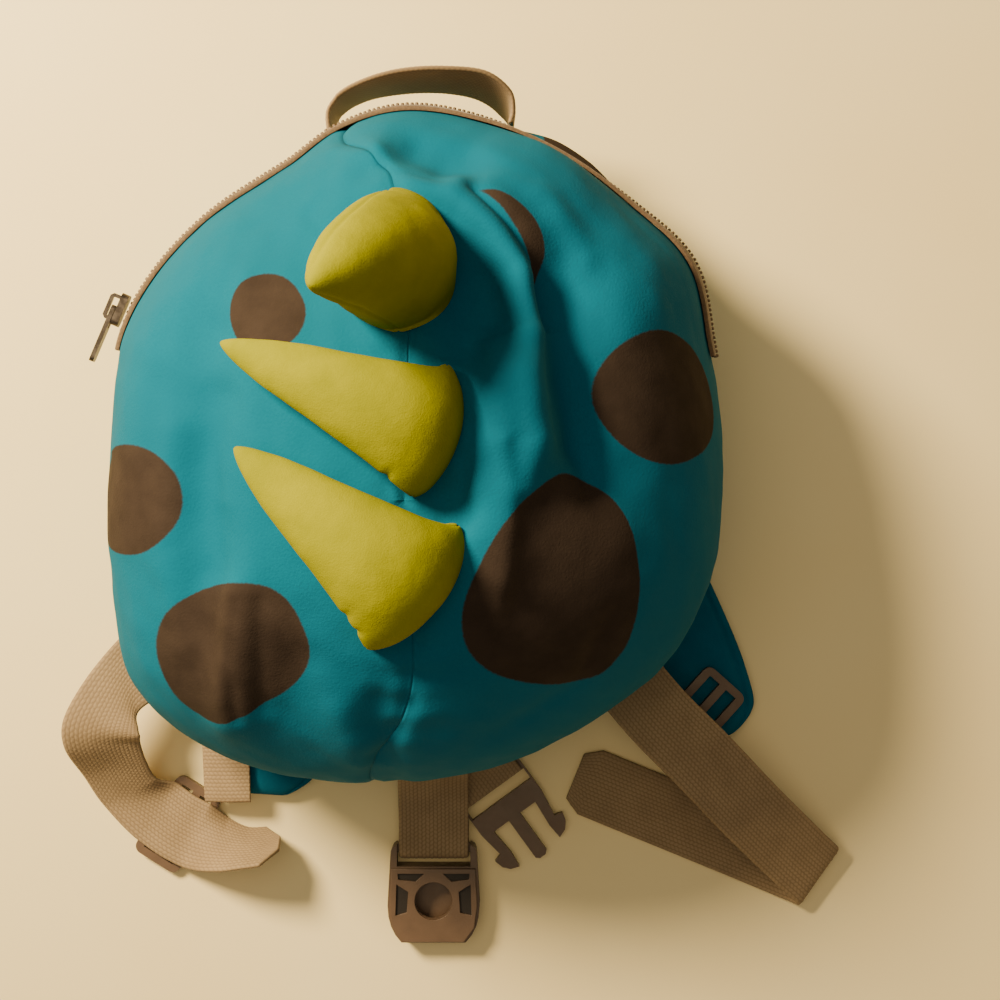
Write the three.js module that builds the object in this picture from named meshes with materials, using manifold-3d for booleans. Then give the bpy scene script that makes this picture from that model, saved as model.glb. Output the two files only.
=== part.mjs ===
// A kids' animal backpack lying on its back, front up. Millimetres, +Z up out of the front.
// +Y points at the bag's top, where the grab handle is, and +X to the right of the front.
import * as THREE from 'three';
import Module from 'manifold-3d';
import { mergeVertices } from 'three/addons/utils/BufferGeometryUtils.js';

const wasm = await Module();
wasm.setup();

// Driving sizes of the bag body
const halfWidth = 100.5;
const crownHeight = 135;
const wideLevel = 46;
const zipLevel = 62;
const lowerSeamLevel = 33;
const backCorner = 14;
const clothWall = 2;
const backPanelThickness = 4;
const clearance = 0.3;

// Driving sizes of the straps
const webWidth = 25;
const webThickness = 2;
const padWidth = 38;
const padThickness = 9;
const strapLevel = 24;
const handleSpan = 61;
const handleReach = 14;
const handleRise = 12;
const tetherLength = 33;
const tetherTurn = 272;

// Driving sizes of the spikes
const spikeLength = 66;
const spikeBase = 42;
const spikeTip = 3.2;

// Driving sizes of the zip
const zipStart = 26;
const zipEnd = 153;
const tapeAbove = 13;
const tapeBelow = 7;
const tapeThickness = 1.2;
const coilWidth = 4;
const coilHeight = 2.5;
const sliderTurn = 147;
const sliderLength = 11;
const sliderWidth = 8.6;
const sliderThickness = 2.4;
const bridgeWidth = 2.4;
const bridgeThickness = 1.2;
const pullWidth = 7;
const pullTabLength = 12;
const pullThickness = 1.4;

// Driving sizes of the buckle halves and ladder locks
const buckleWidth = 33;
const buckleLength = 35;
const buckleThickness = 8.4;
const buckleWall = 1.9;
const windowRadius = 6.6;
const prongThickness = 3.6;
const prongLength = 19;
const barWidth = 3.2;
const barThickness = 3;
const slotGap = 4.6;
const lockThickness = 3;
const lockBar = 3;
const lockRim = 3.5;

// How finely the soft forms are faceted
const turnSteps = 28;
const fallSteps = 14;
const bandSteps = 4;

const backLevel = padThickness + 2 * clearance;

// The outline seen from the front, a row for each stretch round the body from +X. reach is the
// widest level's distance from the centre as a share of the half width, tuck is how far the zip is
// drawn in there as a share of the reach, seam is the front seam's place between its low and its
// high level.
const outline = [
  { at: 0, reach: 1.0, tuck: 0, seam: 0.5 },
  { at: 15, reach: 1.03, tuck: 0, seam: 0.8 },
  { at: 28, reach: 1.085, tuck: 0, seam: 0.96 },
  { at: 41, reach: 1.185, tuck: 0, seam: 1 },
  { at: 54, reach: 1.215, tuck: 0.02, seam: 1 },
  { at: 69, reach: 1.285, tuck: 0.055, seam: 1 },
  { at: 80, reach: 1.275, tuck: 0.015, seam: 1 },
  { at: 92, reach: 1.28, tuck: 0, seam: 1 },
  { at: 102, reach: 1.24, tuck: 0, seam: 1 },
  { at: 111, reach: 1.175, tuck: 0, seam: 1 },
  { at: 128, reach: 1.145, tuck: 0, seam: 1 },
  { at: 145, reach: 1.115, tuck: 0, seam: 1 },
  { at: 157, reach: 1.055, tuck: 0, seam: 0.95 },
  { at: 170, reach: 1.01, tuck: 0, seam: 0.7 },
  { at: 187, reach: 1.01, tuck: 0, seam: 0.35 },
  { at: 200, reach: 1.055, tuck: 0, seam: 0.1 },
  { at: 215, reach: 1.105, tuck: 0, seam: 0 },
  { at: 232, reach: 1.055, tuck: 0, seam: 0 },
  { at: 250, reach: 0.975, tuck: 0, seam: 0 },
  { at: 268, reach: 0.93, tuck: 0, seam: 0 },
  { at: 288, reach: 0.91, tuck: 0, seam: 0 },
  { at: 310, reach: 0.935, tuck: 0, seam: 0 },
  { at: 328, reach: 0.98, tuck: 0, seam: 0 },
  { at: 345, reach: 1.0, tuck: 0, seam: 0.2 },
];

// The folds and dents of the front, each a line over the front with its points, width and rise as
// shares of the half width.
const folds = [
  { name: 'ridge right of the spikes', rise: 0.075, width: 0.1,
    line: [[-0.1, 1.0], [0.18, 0.88], [0.33, 0.69], [0.39, 0.5], [0.36, 0.35], [0.39, 0.17]] },
  { name: 'valley beyond that ridge', rise: -0.065, width: 0.12,
    line: [[0.44, 0.68], [0.52, 0.42], [0.57, 0.1]] },
  { name: 'hollow beside the top spike', rise: -0.085, width: 0.13, line: [[0.2, 0.66], [0.21, 0.5]] },
  { name: 'ridge beside the lower spikes', rise: 0.035, width: 0.09, line: [[0.23, 0.3], [0.25, -0.2]] },
  { name: 'pocket between the lower spikes', rise: -0.05, width: 0.07, line: [[0.11, 0.03], [0.14, -0.02]] },
  { name: 'dent under the zip', rise: -0.05, width: 0.09, line: [[0.02, 1.06], [0.16, 1.02]] },
  { name: 'valley down the left', rise: -0.05, width: 0.11,
    line: [[-0.6, 0.52], [-0.63, 0.1], [-0.62, -0.38]] },
  { name: 'swell of the left edge', rise: 0.03, width: 0.12, line: [[-0.86, 0.45], [-0.87, -0.1]] },
  { name: 'ridge at the lower left', rise: 0.035, width: 0.08, line: [[-0.5, -0.28], [-0.54, -0.66]] },
  { name: 'hollow beside that ridge', rise: -0.03, width: 0.1, line: [[-0.34, -0.5], [-0.36, -0.68]] },
  { name: 'groove of the lower seam', rise: -0.02, width: 0.05, line: [[-0.09, -0.6], [-0.07, -0.94]] },
  { name: 'dent at the upper left', rise: -0.025, width: 0.13, line: [[-0.44, 0.86], [-0.3, 0.66]] },
  { name: 'flat at the bottom right', rise: -0.03, width: 0.16, line: [[0.34, -0.64], [0.62, -0.5]] },
];

// The centre seam, from the crown out to the rim: its direction round the body at the top and at
// the bottom, by share of the way out.
const seamLine = [
  { out: 0, top: 90, bottom: 270 },
  { out: 0.3, top: 89, bottom: 272 },
  { out: 0.55, top: 93, bottom: 262 },
  { out: 0.8, top: 101, bottom: 262 },
  { out: 1, top: 99.5, bottom: 266 },
];

const teal = new THREE.MeshStandardMaterial({ color: 0x0aa0ad, roughness: 0.9, metalness: 0 });
const lime = new THREE.MeshStandardMaterial({ color: 0xc3c800, roughness: 0.9, metalness: 0 });
const taupe = new THREE.MeshStandardMaterial({ color: 0x7d6a56, roughness: 0.85, metalness: 0 });
const brown = new THREE.MeshStandardMaterial({ color: 0x5b4b3e, roughness: 0.5, metalness: 0 });
const metal = new THREE.MeshStandardMaterial({ color: 0x5f574e, roughness: 0.4, metalness: 0.8 });
const padding = new THREE.MeshStandardMaterial({ color: 0x0b8f9b, roughness: 0.95, metalness: 0 });

const degrees = THREE.MathUtils.degToRad;
const vector = (x, y, z) => new THREE.Vector3(x, y, z);
const upward = vector(0, 0, 1);

// A value of a table between its rows, with a smooth curve through them.
function smoothColumn(rows, key, column, place, period) {
  const count = rows.length;
  const at = (index) => {
    const turns = Math.floor(index / count);
    return rows[index - turns * count][key] + turns * (period || 0);
  };
  const value = (index) => rows[((index % count) + count) % count][column];
  const wrapped = period ? ((place % period) + period) % period : place;
  let low = 0;
  while (low < count - 2 && at(low + 1) <= wrapped) low += 1;
  if (period && wrapped >= at(count - 1)) low = count - 1;
  const before = period ? low - 1 : Math.max(low - 1, 0);
  const after = period ? low + 2 : Math.min(low + 2, count - 1);
  const span = at(low + 1) - at(low);
  const share = (wrapped - at(low)) / span;
  const slopeIn = (value(low + 1) - value(before)) / (at(low + 1) - at(before)) * span;
  const slopeOut = (value(after) - value(low)) / (at(after) - at(low)) * span;
  const square = share * share;
  const cube = square * share;
  return (2 * cube - 3 * square + 1) * value(low) + (cube - 2 * square + share) * slopeIn
    + (3 * square - 2 * cube) * value(low + 1) + (cube - square) * slopeOut;
}

const round = (column, turn) => smoothColumn(outline, 'at', column, turn, 360);
const reachAt = (turn) => halfWidth * round('reach', turn);

// How far down the body's side a level lies: 0 at the crown, 90 at the widest level, 180 at the
// edge of the back. Above the widest level the side follows a slightly squared ellipse.
const domeFullness = 0.85;
function fallAtLevel(level) {
  if (level >= wideLevel) {
    const share = (level - wideLevel) / (crownHeight - wideLevel);
    return Math.acos(share ** (1 / domeFullness));
  }
  return Math.PI / 2 + Math.asin((wideLevel - level) / (wideLevel - backLevel));
}

const zipFall = fallAtLevel(zipLevel);
const tuckSpread = 0.2;
function seamFall(turn) {
  const share = THREE.MathUtils.clamp(round('seam', turn), 0, 1);
  return fallAtLevel(lowerSeamLevel + (zipLevel - lowerSeamLevel) * share);
}

// How far the folds lift a point of the front, from its place in the front view.
function foldLift(x, y) {
  let lift = 0;
  for (const fold of folds) {
    let nearest = Infinity;
    for (let index = 0; index + 1 < fold.line.length; index += 1) {
      const [startX, startY] = fold.line[index];
      const [endX, endY] = fold.line[index + 1];
      const alongX = endX - startX;
      const alongY = endY - startY;
      const offsetX = x / halfWidth - startX;
      const offsetY = y / halfWidth - startY;
      const square = alongX * alongX + alongY * alongY;
      const share = THREE.MathUtils.clamp((offsetX * alongX + offsetY * alongY) / square, 0, 1);
      nearest = Math.min(nearest, Math.hypot(offsetX - share * alongX, offsetY - share * alongY));
    }
    lift += fold.rise * halfWidth * Math.exp(-((nearest / fold.width) ** 2));
  }
  return lift;
}

// The body's surface at a direction round it (degrees) and a fall down its side (radians).
function surfacePoint(turn, fall) {
  const direction = vector(Math.cos(degrees(turn)), Math.sin(degrees(turn)), 0);
  const reach = reachAt(turn);
  if (fall > Math.PI / 2) {
    const under = fall - Math.PI / 2;
    const point = direction.multiplyScalar(reach - backCorner * (1 - Math.cos(under)));
    point.z = wideLevel - (wideLevel - backLevel) * Math.sin(under);
    return point;
  }
  const tuck = round('tuck', turn) * Math.exp(-(((fall - zipFall) / tuckSpread) ** 2));
  const out = reach * Math.sin(fall) * (1 - tuck);
  const point = direction.clone().multiplyScalar(out);
  point.z = wideLevel + (crownHeight - wideLevel) * Math.cos(fall) ** domeFullness;
  const lift = foldLift(point.x, point.y) * Math.cos(fall) ** 0.25;
  const away = direction.multiplyScalar(Math.sin(fall)).setZ(Math.cos(fall));
  return point.addScaledVector(away, lift);
}

// The outward direction of the surface, from its neighbouring points.
function surfaceNormal(turn, fall) {
  const step = 0.02;
  if (fall < step) {
    const across = surfacePoint(0, step).sub(surfacePoint(180, step));
    const along = surfacePoint(90, step).sub(surfacePoint(270, step));
    return across.cross(along).normalize();
  }
  const low = Math.max(fall - step, 0);
  const high = Math.min(fall + step, Math.PI);
  const down = surfacePoint(turn, high).sub(surfacePoint(turn, low));
  const around = surfacePoint(turn + 1, fall).sub(surfacePoint(turn - 1, fall));
  return down.cross(around).normalize();
}

function bodyPoint(turn, fall, lift) {
  return surfacePoint(turn, fall).addScaledVector(surfaceNormal(turn, fall), lift);
}

// The surface above a place in the front view.
function frontPoint(x, y, lift) {
  const turn = THREE.MathUtils.radToDeg(Math.atan2(y, x));
  const fall = Math.asin(Math.min(Math.hypot(x, y) / reachAt(turn), 1));
  return bodyPoint(turn, fall, lift);
}

// A closed solid gathered from triangles; points that coincide become one.
class Solid {
  constructor() {
    this.positions = [];
    this.faces = [];
    this.known = new Map();
  }

  vertex(point) {
    const key = `${point.x.toFixed(4)},${point.y.toFixed(4)},${point.z.toFixed(4)}`;
    if (!this.known.has(key)) {
      this.known.set(key, this.positions.length / 3);
      this.positions.push(point.x, point.y, point.z);
    }
    return this.known.get(key);
  }

  triangle(first, second, third) {
    const [a, b, c] = [this.vertex(first), this.vertex(second), this.vertex(third)];
    if (a !== b && b !== c && c !== a) this.faces.push(a, b, c);
  }

  quad(first, second, third, fourth) {
    this.triangle(first, second, third);
    this.triangle(first, third, fourth);
  }

  geometry() {
    const geometry = new THREE.BufferGeometry();
    geometry.setAttribute('position', new THREE.Float32BufferAttribute(this.positions, 3));
    geometry.setIndex(this.faces);
    geometry.computeVertexNormals();
    return geometry;
  }
}

// A cloth wall between an outer and an inner grid of points, rows going down the side and columns
// going round it. A closed one has no ends to its rows.
function clothShell(outer, inner, closed) {
  const solid = new Solid();
  const rows = outer.length;
  const columns = outer[0].length;
  for (let row = 0; row + 1 < rows; row += 1) {
    for (let column = 0; column + 1 < columns; column += 1) {
      solid.quad(outer[row][column], outer[row + 1][column],
        outer[row + 1][column + 1], outer[row][column + 1]);
      solid.quad(inner[row][column], inner[row][column + 1],
        inner[row + 1][column + 1], inner[row + 1][column]);
    }
    if (!closed) {
      const last = columns - 1;
      solid.quad(outer[row][0], inner[row][0], inner[row + 1][0], outer[row + 1][0]);
      solid.quad(outer[row][last], outer[row + 1][last], inner[row + 1][last], inner[row][last]);
    }
  }
  for (let column = 0; column + 1 < columns; column += 1) {
    const last = rows - 1;
    solid.quad(outer[0][column], outer[0][column + 1], inner[0][column + 1], inner[0][column]);
    solid.quad(outer[last][column], inner[last][column],
      inner[last][column + 1], outer[last][column + 1]);
  }
  return solid.geometry();
}

// A solid lofted through rings of points, closed by a fan at each end.
function loft(rings) {
  const solid = new Solid();
  const count = rings[0].length;
  for (let ring = 0; ring + 1 < rings.length; ring += 1) {
    for (let index = 0; index < count; index += 1) {
      const next = (index + 1) % count;
      solid.quad(rings[ring][index], rings[ring][next], rings[ring + 1][next], rings[ring + 1][index]);
    }
  }
  const middle = (ring) => ring.reduce((sum, point) => sum.add(point), vector(0, 0, 0))
    .divideScalar(count);
  const [first, last] = [rings[0], rings[rings.length - 1]];
  const [start, end] = [middle(first), middle(last)];
  for (let index = 0; index < count; index += 1) {
    const next = (index + 1) % count;
    solid.triangle(start, first[next], first[index]);
    solid.triangle(end, last[index], last[next]);
  }
  return solid.geometry();
}

// Webbing along a smooth path: each station has its place and the direction of its width. The
// width narrows to tipShare of itself at the last station. Folded webbing keeps each station's own
// half width, slanting as it is, so that a fold's crest need not be square to the webbing.
function webbing(stations, steps, tipShare = 1, folded = false) {
  const path = new THREE.CatmullRomCurve3(stations.map((station) => station.place), false, 'centripetal');
  const widths = new THREE.CatmullRomCurve3(stations.map((station) => station.across), false, 'centripetal');
  const rings = [];
  for (let step = 0; step <= steps; step += 1) {
    const share = step / steps;
    const place = path.getPoint(share);
    const forward = path.getTangent(share);
    const across = widths.getPoint(share);
    const width = folded ? across.length() * webWidth / 2 : webWidth / 2;
    if (!folded) across.addScaledVector(forward, -across.dot(forward));
    across.normalize();
    const normal = across.clone().cross(forward).normalize();
    const half = width * (step === steps ? tipShare : 1);
    const thick = webThickness / 2;
    rings.push([[-1, -1], [-1, 1], [1, 1], [1, -1]].map(([side, face]) => place.clone()
      .addScaledVector(across, side * half).addScaledVector(normal, face * thick)));
  }
  return loft(rings);
}

// Where webbing leaves the body: stations on its surface and a little way out of it, with the
// webbing's width along the surface.
const rootGap = clearance + 0.3;
function rootStations(turn, level, reach) {
  const fall = fallAtLevel(level);
  const around = surfacePoint(turn + 1, fall).sub(surfacePoint(turn - 1, fall)).normalize();
  return [rootGap, rootGap + reach].map((lift) => (
    { place: bodyPoint(turn, fall, lift), across: around.clone() }));
}

const station = (x, y, z, across) => ({ place: vector(x, y, z), across: across.clone() });

function toManifold(geometry) {
  const bare = geometry.clone();
  bare.deleteAttribute('normal');
  bare.deleteAttribute('uv');
  const merged = mergeVertices(bare, 1e-4);
  return new wasm.Manifold(new wasm.Mesh({
    numProp: 3,
    vertProperties: new Float32Array(merged.attributes.position.array),
    triVerts: new Uint32Array(merged.index.array),
  }));
}

function fromManifold(solid) {
  const mesh = solid.getMesh();
  const geometry = new THREE.BufferGeometry();
  geometry.setAttribute('position', new THREE.BufferAttribute(mesh.vertProperties, 3));
  geometry.setIndex(new THREE.BufferAttribute(mesh.triVerts, 1));
  geometry.computeVertexNormals();
  return geometry;
}

function box(width, length, height, x, y, z) {
  return new THREE.BoxGeometry(width, length, height).translate(x, y, z);
}

// A plate of a drawn outline, with its lower face at z = 0. Points that coincide are left out.
function plate(shape, thickness, curveSegments = 5) {
  const drawn = shape.extractPoints(curveSegments);
  const distinct = (points) => points.filter((point, index) => {
    const previous = points[(index + points.length - 1) % points.length];
    return point.distanceTo(previous) > 1e-4;
  });
  const outlineShape = new THREE.Shape(distinct(drawn.shape));
  outlineShape.holes = drawn.holes.map((points) => new THREE.Path(distinct(points)));
  return new THREE.ExtrudeGeometry(outlineShape, { depth: thickness, bevelEnabled: false });
}

function roundedRectangle(width, length, corner) {
  const shape = new THREE.Shape();
  const [x, y] = [width / 2, length / 2];
  shape.moveTo(-x + corner, -y);
  shape.lineTo(x - corner, -y);
  shape.absarc(x - corner, -y + corner, corner, -Math.PI / 2, 0, false);
  shape.lineTo(x, y - corner);
  shape.absarc(x - corner, y - corner, corner, 0, Math.PI / 2, false);
  shape.lineTo(-x + corner, y);
  shape.absarc(-x + corner, y - corner, corner, Math.PI / 2, Math.PI, false);
  shape.lineTo(-x, -y + corner);
  shape.absarc(-x + corner, -y + corner, corner, Math.PI, Math.PI * 1.5, false);
  return shape;
}

function rectangleHole(width, length, x, y) {
  const hole = new THREE.Path();
  hole.moveTo(x - width / 2, y - length / 2);
  hole.lineTo(x - width / 2, y + length / 2);
  hole.lineTo(x + width / 2, y + length / 2);
  hole.lineTo(x + width / 2, y - length / 2);
  hole.closePath();
  return hole;
}

const backpack = new THREE.Group();
function addPiece(name, geometry, material, parent = backpack) {
  const mesh = new THREE.Mesh(geometry, material);
  mesh.name = name;
  parent.add(mesh);
  return mesh;
}

// Front panels: two cloth shells from the crown down to the zip and the lower seam
function frontPanel(side) {
  const outer = [];
  const inner = [];
  for (let row = 0; row <= fallSteps; row += 1) {
    const out = row / fallSteps;
    const top = smoothColumn(seamLine, 'out', 'top', out);
    const bottom = smoothColumn(seamLine, 'out', 'bottom', out);
    const [from, to] = side === 'left' ? [top, bottom] : [bottom - 360, top];
    const outerRow = [];
    const innerRow = [];
    for (let column = 0; column <= turnSteps; column += 1) {
      const turn = from + (to - from) * column / turnSteps;
      const fall = seamFall(turn) * out;
      const seamShift = vector(side === 'left' ? -clearance / 2 : clearance / 2, 0, 0);
      const edgeGap = row === fallSteps ? clearance / 2 : 0;
      const place = bodyPoint(turn, fall, 0).add(seamShift);
      const within = bodyPoint(turn, fall, -clothWall).add(seamShift);
      const rise = surfacePoint(turn, fall).sub(surfacePoint(turn, fall + 0.02)).normalize();
      outerRow.push(place.addScaledVector(rise, edgeGap));
      innerRow.push(within.addScaledVector(rise, edgeGap));
    }
    outer.push(outerRow);
    inner.push(innerRow);
  }
  return clothShell(outer, inner, false);
}

// Side band: the cloth wall from the front's edge round to the back
function sideBand() {
  const outer = [];
  const inner = [];
  for (let row = 0; row <= bandSteps; row += 1) {
    const outerRow = [];
    const innerRow = [];
    for (let column = 0; column <= 2 * turnSteps; column += 1) {
      const turn = 180 * (column % (2 * turnSteps)) / turnSteps;
      const start = seamFall(turn);
      const fall = start + (Math.PI - start) * row / bandSteps;
      const drop = surfacePoint(turn, fall + 0.02).sub(surfacePoint(turn, fall)).normalize();
      const edgeGap = row === 0 ? clearance / 2 : 0;
      outerRow.push(bodyPoint(turn, fall, 0).addScaledVector(drop, edgeGap));
      innerRow.push(bodyPoint(turn, fall, -clothWall).addScaledVector(drop, edgeGap));
    }
    outer.push(outerRow);
    inner.push(innerRow);
  }
  return clothShell(outer, inner, true);
}

// Back panel: a padded plate inside the side band's lower edge
function backPanel() {
  const points = [];
  for (let column = 0; column < 2 * turnSteps; column += 1) {
    const turn = 180 * column / turnSteps;
    const reach = reachAt(turn) - backCorner - clearance;
    points.push(new THREE.Vector2(reach * Math.cos(degrees(turn)), reach * Math.sin(degrees(turn))));
  }
  return plate(new THREE.Shape(points), backPanelThickness).translate(0, 0, backLevel);
}

addPiece('front_panel_left', frontPanel('left'), teal);
addPiece('front_panel_right', frontPanel('right'), teal);
addPiece('side_band', sideBand(), teal);
addPiece('back_panel', backPanel(), padding);

// Zip tape: a band over the seam between the front and the side band, with the coil as a ridge
function zipTape() {
  const steps = 44;
  const seat = clearance + 0.1;
  const section = [
    [-tapeAbove, seat + tapeThickness], [-tapeAbove / 2, seat + tapeThickness],
    [-coilWidth / 2, seat + tapeThickness],
    [-coilWidth * 0.4, seat + coilHeight], [coilWidth * 0.4, seat + coilHeight],
    [coilWidth / 2, seat + tapeThickness], [tapeBelow, seat + tapeThickness],
    [tapeBelow, seat], [coilWidth / 2, seat], [-coilWidth / 2, seat], [-tapeAbove / 2, seat],
    [-tapeAbove, seat],
  ];
  const rings = [];
  for (let step = 0; step <= steps; step += 1) {
    const turn = zipStart + (zipEnd - zipStart) * step / steps;
    const fall = seamFall(turn);
    const speed = surfacePoint(turn, fall + 0.02).distanceTo(surfacePoint(turn, fall - 0.02)) / 0.04;
    rings.push(section.map(([across, lift]) => bodyPoint(turn, fall + across / speed, lift)));
  }
  return loft(rings);
}

addPiece('zip_tape', zipTape(), taupe);

// The frame at the slider: x along the zip away from its middle, z out of the bag
function sliderFrame() {
  const fall = seamFall(sliderTurn);
  const along = surfacePoint(sliderTurn + 1, seamFall(sliderTurn + 1))
    .sub(surfacePoint(sliderTurn - 1, seamFall(sliderTurn - 1))).normalize();
  const out = surfaceNormal(sliderTurn, fall);
  out.addScaledVector(along, -out.dot(along)).normalize();
  const across = out.clone().cross(along);
  const seat = bodyPoint(sliderTurn, fall, clearance + 0.1 + coilHeight + clearance);
  return new THREE.Matrix4().makeBasis(along, across, out).setPosition(seat);
}

const bridgeLength = sliderLength * 0.8;
const bridgeRise = 2 * clearance + pullThickness + 0.4;
const pullWindow = bridgeLength / 2 + bridgeRise + bridgeThickness - 1;
const pullLevel = sliderThickness + clearance + pullThickness / 2;

function zipSlider() {
  const body = plate(roundedRectangle(sliderLength, sliderWidth, 2), sliderThickness, 3);
  const top = sliderThickness + bridgeRise + bridgeThickness;
  const side = new THREE.Shape();
  side.moveTo(-bridgeLength / 2, 0.5);
  side.lineTo(bridgeLength / 2, 0.5);
  side.lineTo(bridgeLength / 2, top - 1);
  side.lineTo(bridgeLength / 2 - 1, top);
  side.lineTo(-bridgeLength / 2 + 1, top);
  side.lineTo(-bridgeLength / 2, top - 1);
  side.closePath();
  side.holes.push(rectangleHole(bridgeLength - 2 * bridgeThickness, bridgeRise,
    0, sliderThickness + bridgeRise / 2));
  const bridge = new THREE.ExtrudeGeometry(side, { depth: bridgeWidth, bevelEnabled: false })
    .rotateX(Math.PI / 2).translate(0, bridgeWidth / 2, 0);
  return fromManifold(toManifold(body).add(toManifold(bridge)));
}

// The pull: a tab with a window round the slider's bridge, whose end bar turns under the bridge
function zipPull() {
  const barHalf = pullThickness / 2;
  const length = pullWindow + pullTabLength;
  const shape = roundedRectangle(length + barHalf, pullWidth, 1.4);
  const centre = (length - barHalf) / 2;
  shape.holes.push(rectangleHole(pullWindow - barHalf, bridgeWidth + 4 * clearance,
    barHalf + (pullWindow - barHalf) / 2 - centre, 0));
  return plate(shape, pullThickness, 3).translate(centre, 0, -barHalf);
}

const sliderGroup = new THREE.Group();
sliderGroup.applyMatrix4(sliderFrame());
backpack.add(sliderGroup);
addPiece('zip_slider', zipSlider(), metal, sliderGroup);
const pull = addPiece('zip_pull', zipPull(), metal, sliderGroup);
pull.position.set(0, 0, pullLevel);

// Spikes: stuffed horns sewn into the centre seam, which flop over to the left. base and tip are
// places in the front view as shares of the half width, tipLift is the tip's height over the crown as
// a share of the horn's length,
// rise is how far the horn stands up before it falls over and turn is its base's direction. wide,
// slit and swell are the base's length and the horn's thickness at its base and middle as shares.
const spikes = [
  { name: 'spike_top', baseX: -0.04, baseY: 0.685, tipX: -0.22, tipY: 0.55, tipLift: 0.697, rise: 0.42,
    turn: 95, wide: 1, slit: 0.9, swell: 1 },
  { name: 'spike_middle', baseX: 0.07, baseY: 0.195, tipX: -0.53, tipY: 0.45, tipLift: -0.061, rise: 0.2,
    turn: 76, wide: 0.94, slit: 0.45, swell: 0.72 },
  { name: 'spike_bottom', baseX: 0.02, baseY: -0.245, tipX: -0.49, tipY: 0.15, tipLift: -0.061, rise: 0.2,
    turn: 53, wide: 1.06, slit: 0.45, swell: 0.72 },
];
const spikeRings = 9;
const spikeSides = 16;
const spikeSeat = 0.95;
const capHollow = 0.4;
const capShares = [0.05, 0.38, 0.7];

function spike(row) {
  const base = frontPoint(row.baseX * halfWidth, row.baseY * halfWidth, spikeSeat);
  const tip = vector(row.tipX * halfWidth, row.tipY * halfWidth, crownHeight + row.tipLift * spikeLength);
  const rise = spikeLength * row.rise;
  const straight = tip.clone().sub(base).normalize();
  const turnOver = base.clone().addScaledVector(upward, rise).addScaledVector(straight, rise * 0.3);
  const approach = tip.clone().addScaledVector(straight, -spikeLength * 0.32)
    .addScaledVector(upward, rise * 0.45);
  const axis = new THREE.CubicBezierCurve3(base, turnOver, approach, tip);
  const along = vector(Math.cos(degrees(row.turn)), Math.sin(degrees(row.turn)), 0);
  const rings = [];
  for (let ring = 0; ring <= spikeRings; ring += 1) {
    const share = ring / spikeRings;
    const place = axis.getPoint(share);
    const forward = axis.getTangent(share);
    const long = along.clone().addScaledVector(forward, -along.dot(forward)).normalize();
    const short = forward.clone().cross(long).normalize();
    const taper = (1 - share ** 1.1) + spikeTip / (spikeBase / 2) * share * Math.sqrt(1.0001 - share ** 6);
    const half = spikeBase / 2 * row.wide * taper;
    const thick = row.slit + (row.swell - row.slit) * Math.sin(Math.PI / 2 * Math.min(share * 2.5, 1));
    const points = [];
    for (let side = 0; side < spikeSides; side += 1) {
      const angle = 2 * Math.PI * side / spikeSides;
      const lens = Math.sin(angle) * Math.abs(Math.sin(angle)) ** (0.3 * (1 - share));
      const point = place.clone().addScaledVector(long, half * Math.cos(angle))
        .addScaledVector(short, half * thick * lens);
      const ground = frontPoint(point.x, point.y, spikeSeat);
      if (ring === 0) {
        points.push(ground);
      } else {
        point.z = Math.max(point.z, ground.z);
        points.push(point);
      }
    }
    rings.push(points);
  }
  const cap = capShares.map((share) => rings[0].map((point) => {
    const within = base.clone().lerp(point, share);
    return frontPoint(within.x, within.y, spikeSeat + capHollow);
  }));
  return loft([...cap, ...rings]);
}

for (const row of spikes) addPiece(row.name, spike(row), lime);

// Grab handle: an arch of webbing on edge, its upper edge leaning away from the bag. across is the
// place along the span, out how far it stands from the bag, up its rise and lean its slope.
const handleLevel = 41;
const handleStations = [
  { across: -0.5, out: 0.26, up: 0.04, lean: 0 },
  { across: -0.45, out: 0.58, up: 0.2, lean: 0 },
  { across: -0.32, out: 0.83, up: 0.55, lean: 1 },
  { across: -0.1, out: 0.98, up: 0.92, lean: 4 },
  { across: 0.14, out: 1, up: 1, lean: 6 },
  { across: 0.34, out: 0.9, up: 0.8, lean: 11 },
  { across: 0.46, out: 0.6, up: 0.35, lean: 10 },
  { across: 0.5, out: 0.28, up: 0.06, lean: 2 },
];

function grabHandle() {
  const halfTurn = THREE.MathUtils.radToDeg(Math.asin(handleSpan / 2 / reachAt(90)));
  const roots = [90 + halfTurn, 90 - halfTurn].map((turn) => {
    const fall = fallAtLevel(handleLevel);
    return { place: bodyPoint(turn, fall, rootGap), across: upward.clone() };
  });
  const left = roots[0].place;
  const right = roots[1].place;
  const middle = left.clone().add(right).divideScalar(2);
  const crest = Math.max(left.y, right.y);
  const rows = handleStations.map((row) => {
    const swing = degrees(90 - 150 * row.across);
    const outward = vector(Math.cos(swing), Math.sin(swing), 0);
    const lean = degrees(row.lean);
    return {
      place: vector(middle.x + row.across * handleSpan, crest + row.out * handleReach,
        handleLevel + row.up * handleRise),
      across: upward.clone().multiplyScalar(Math.cos(lean)).addScaledVector(outward, Math.sin(lean)),
    };
  });
  return webbing([roots[0], ...rows, roots[1]], 26, 1, true);
}

addPiece('grab_handle', grabHandle(), taupe);

// Tether: webbing from the lower edge of the body to the buckle half, looped round its bar
const tetherTop = rootStations(tetherTurn, strapLevel, 3);
const tetherX = tetherTop[0].place.x;
const tetherY = tetherTop[0].place.y;
const buckleY = tetherY - tetherLength;
const barLevel = buckleThickness / 2;

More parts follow.
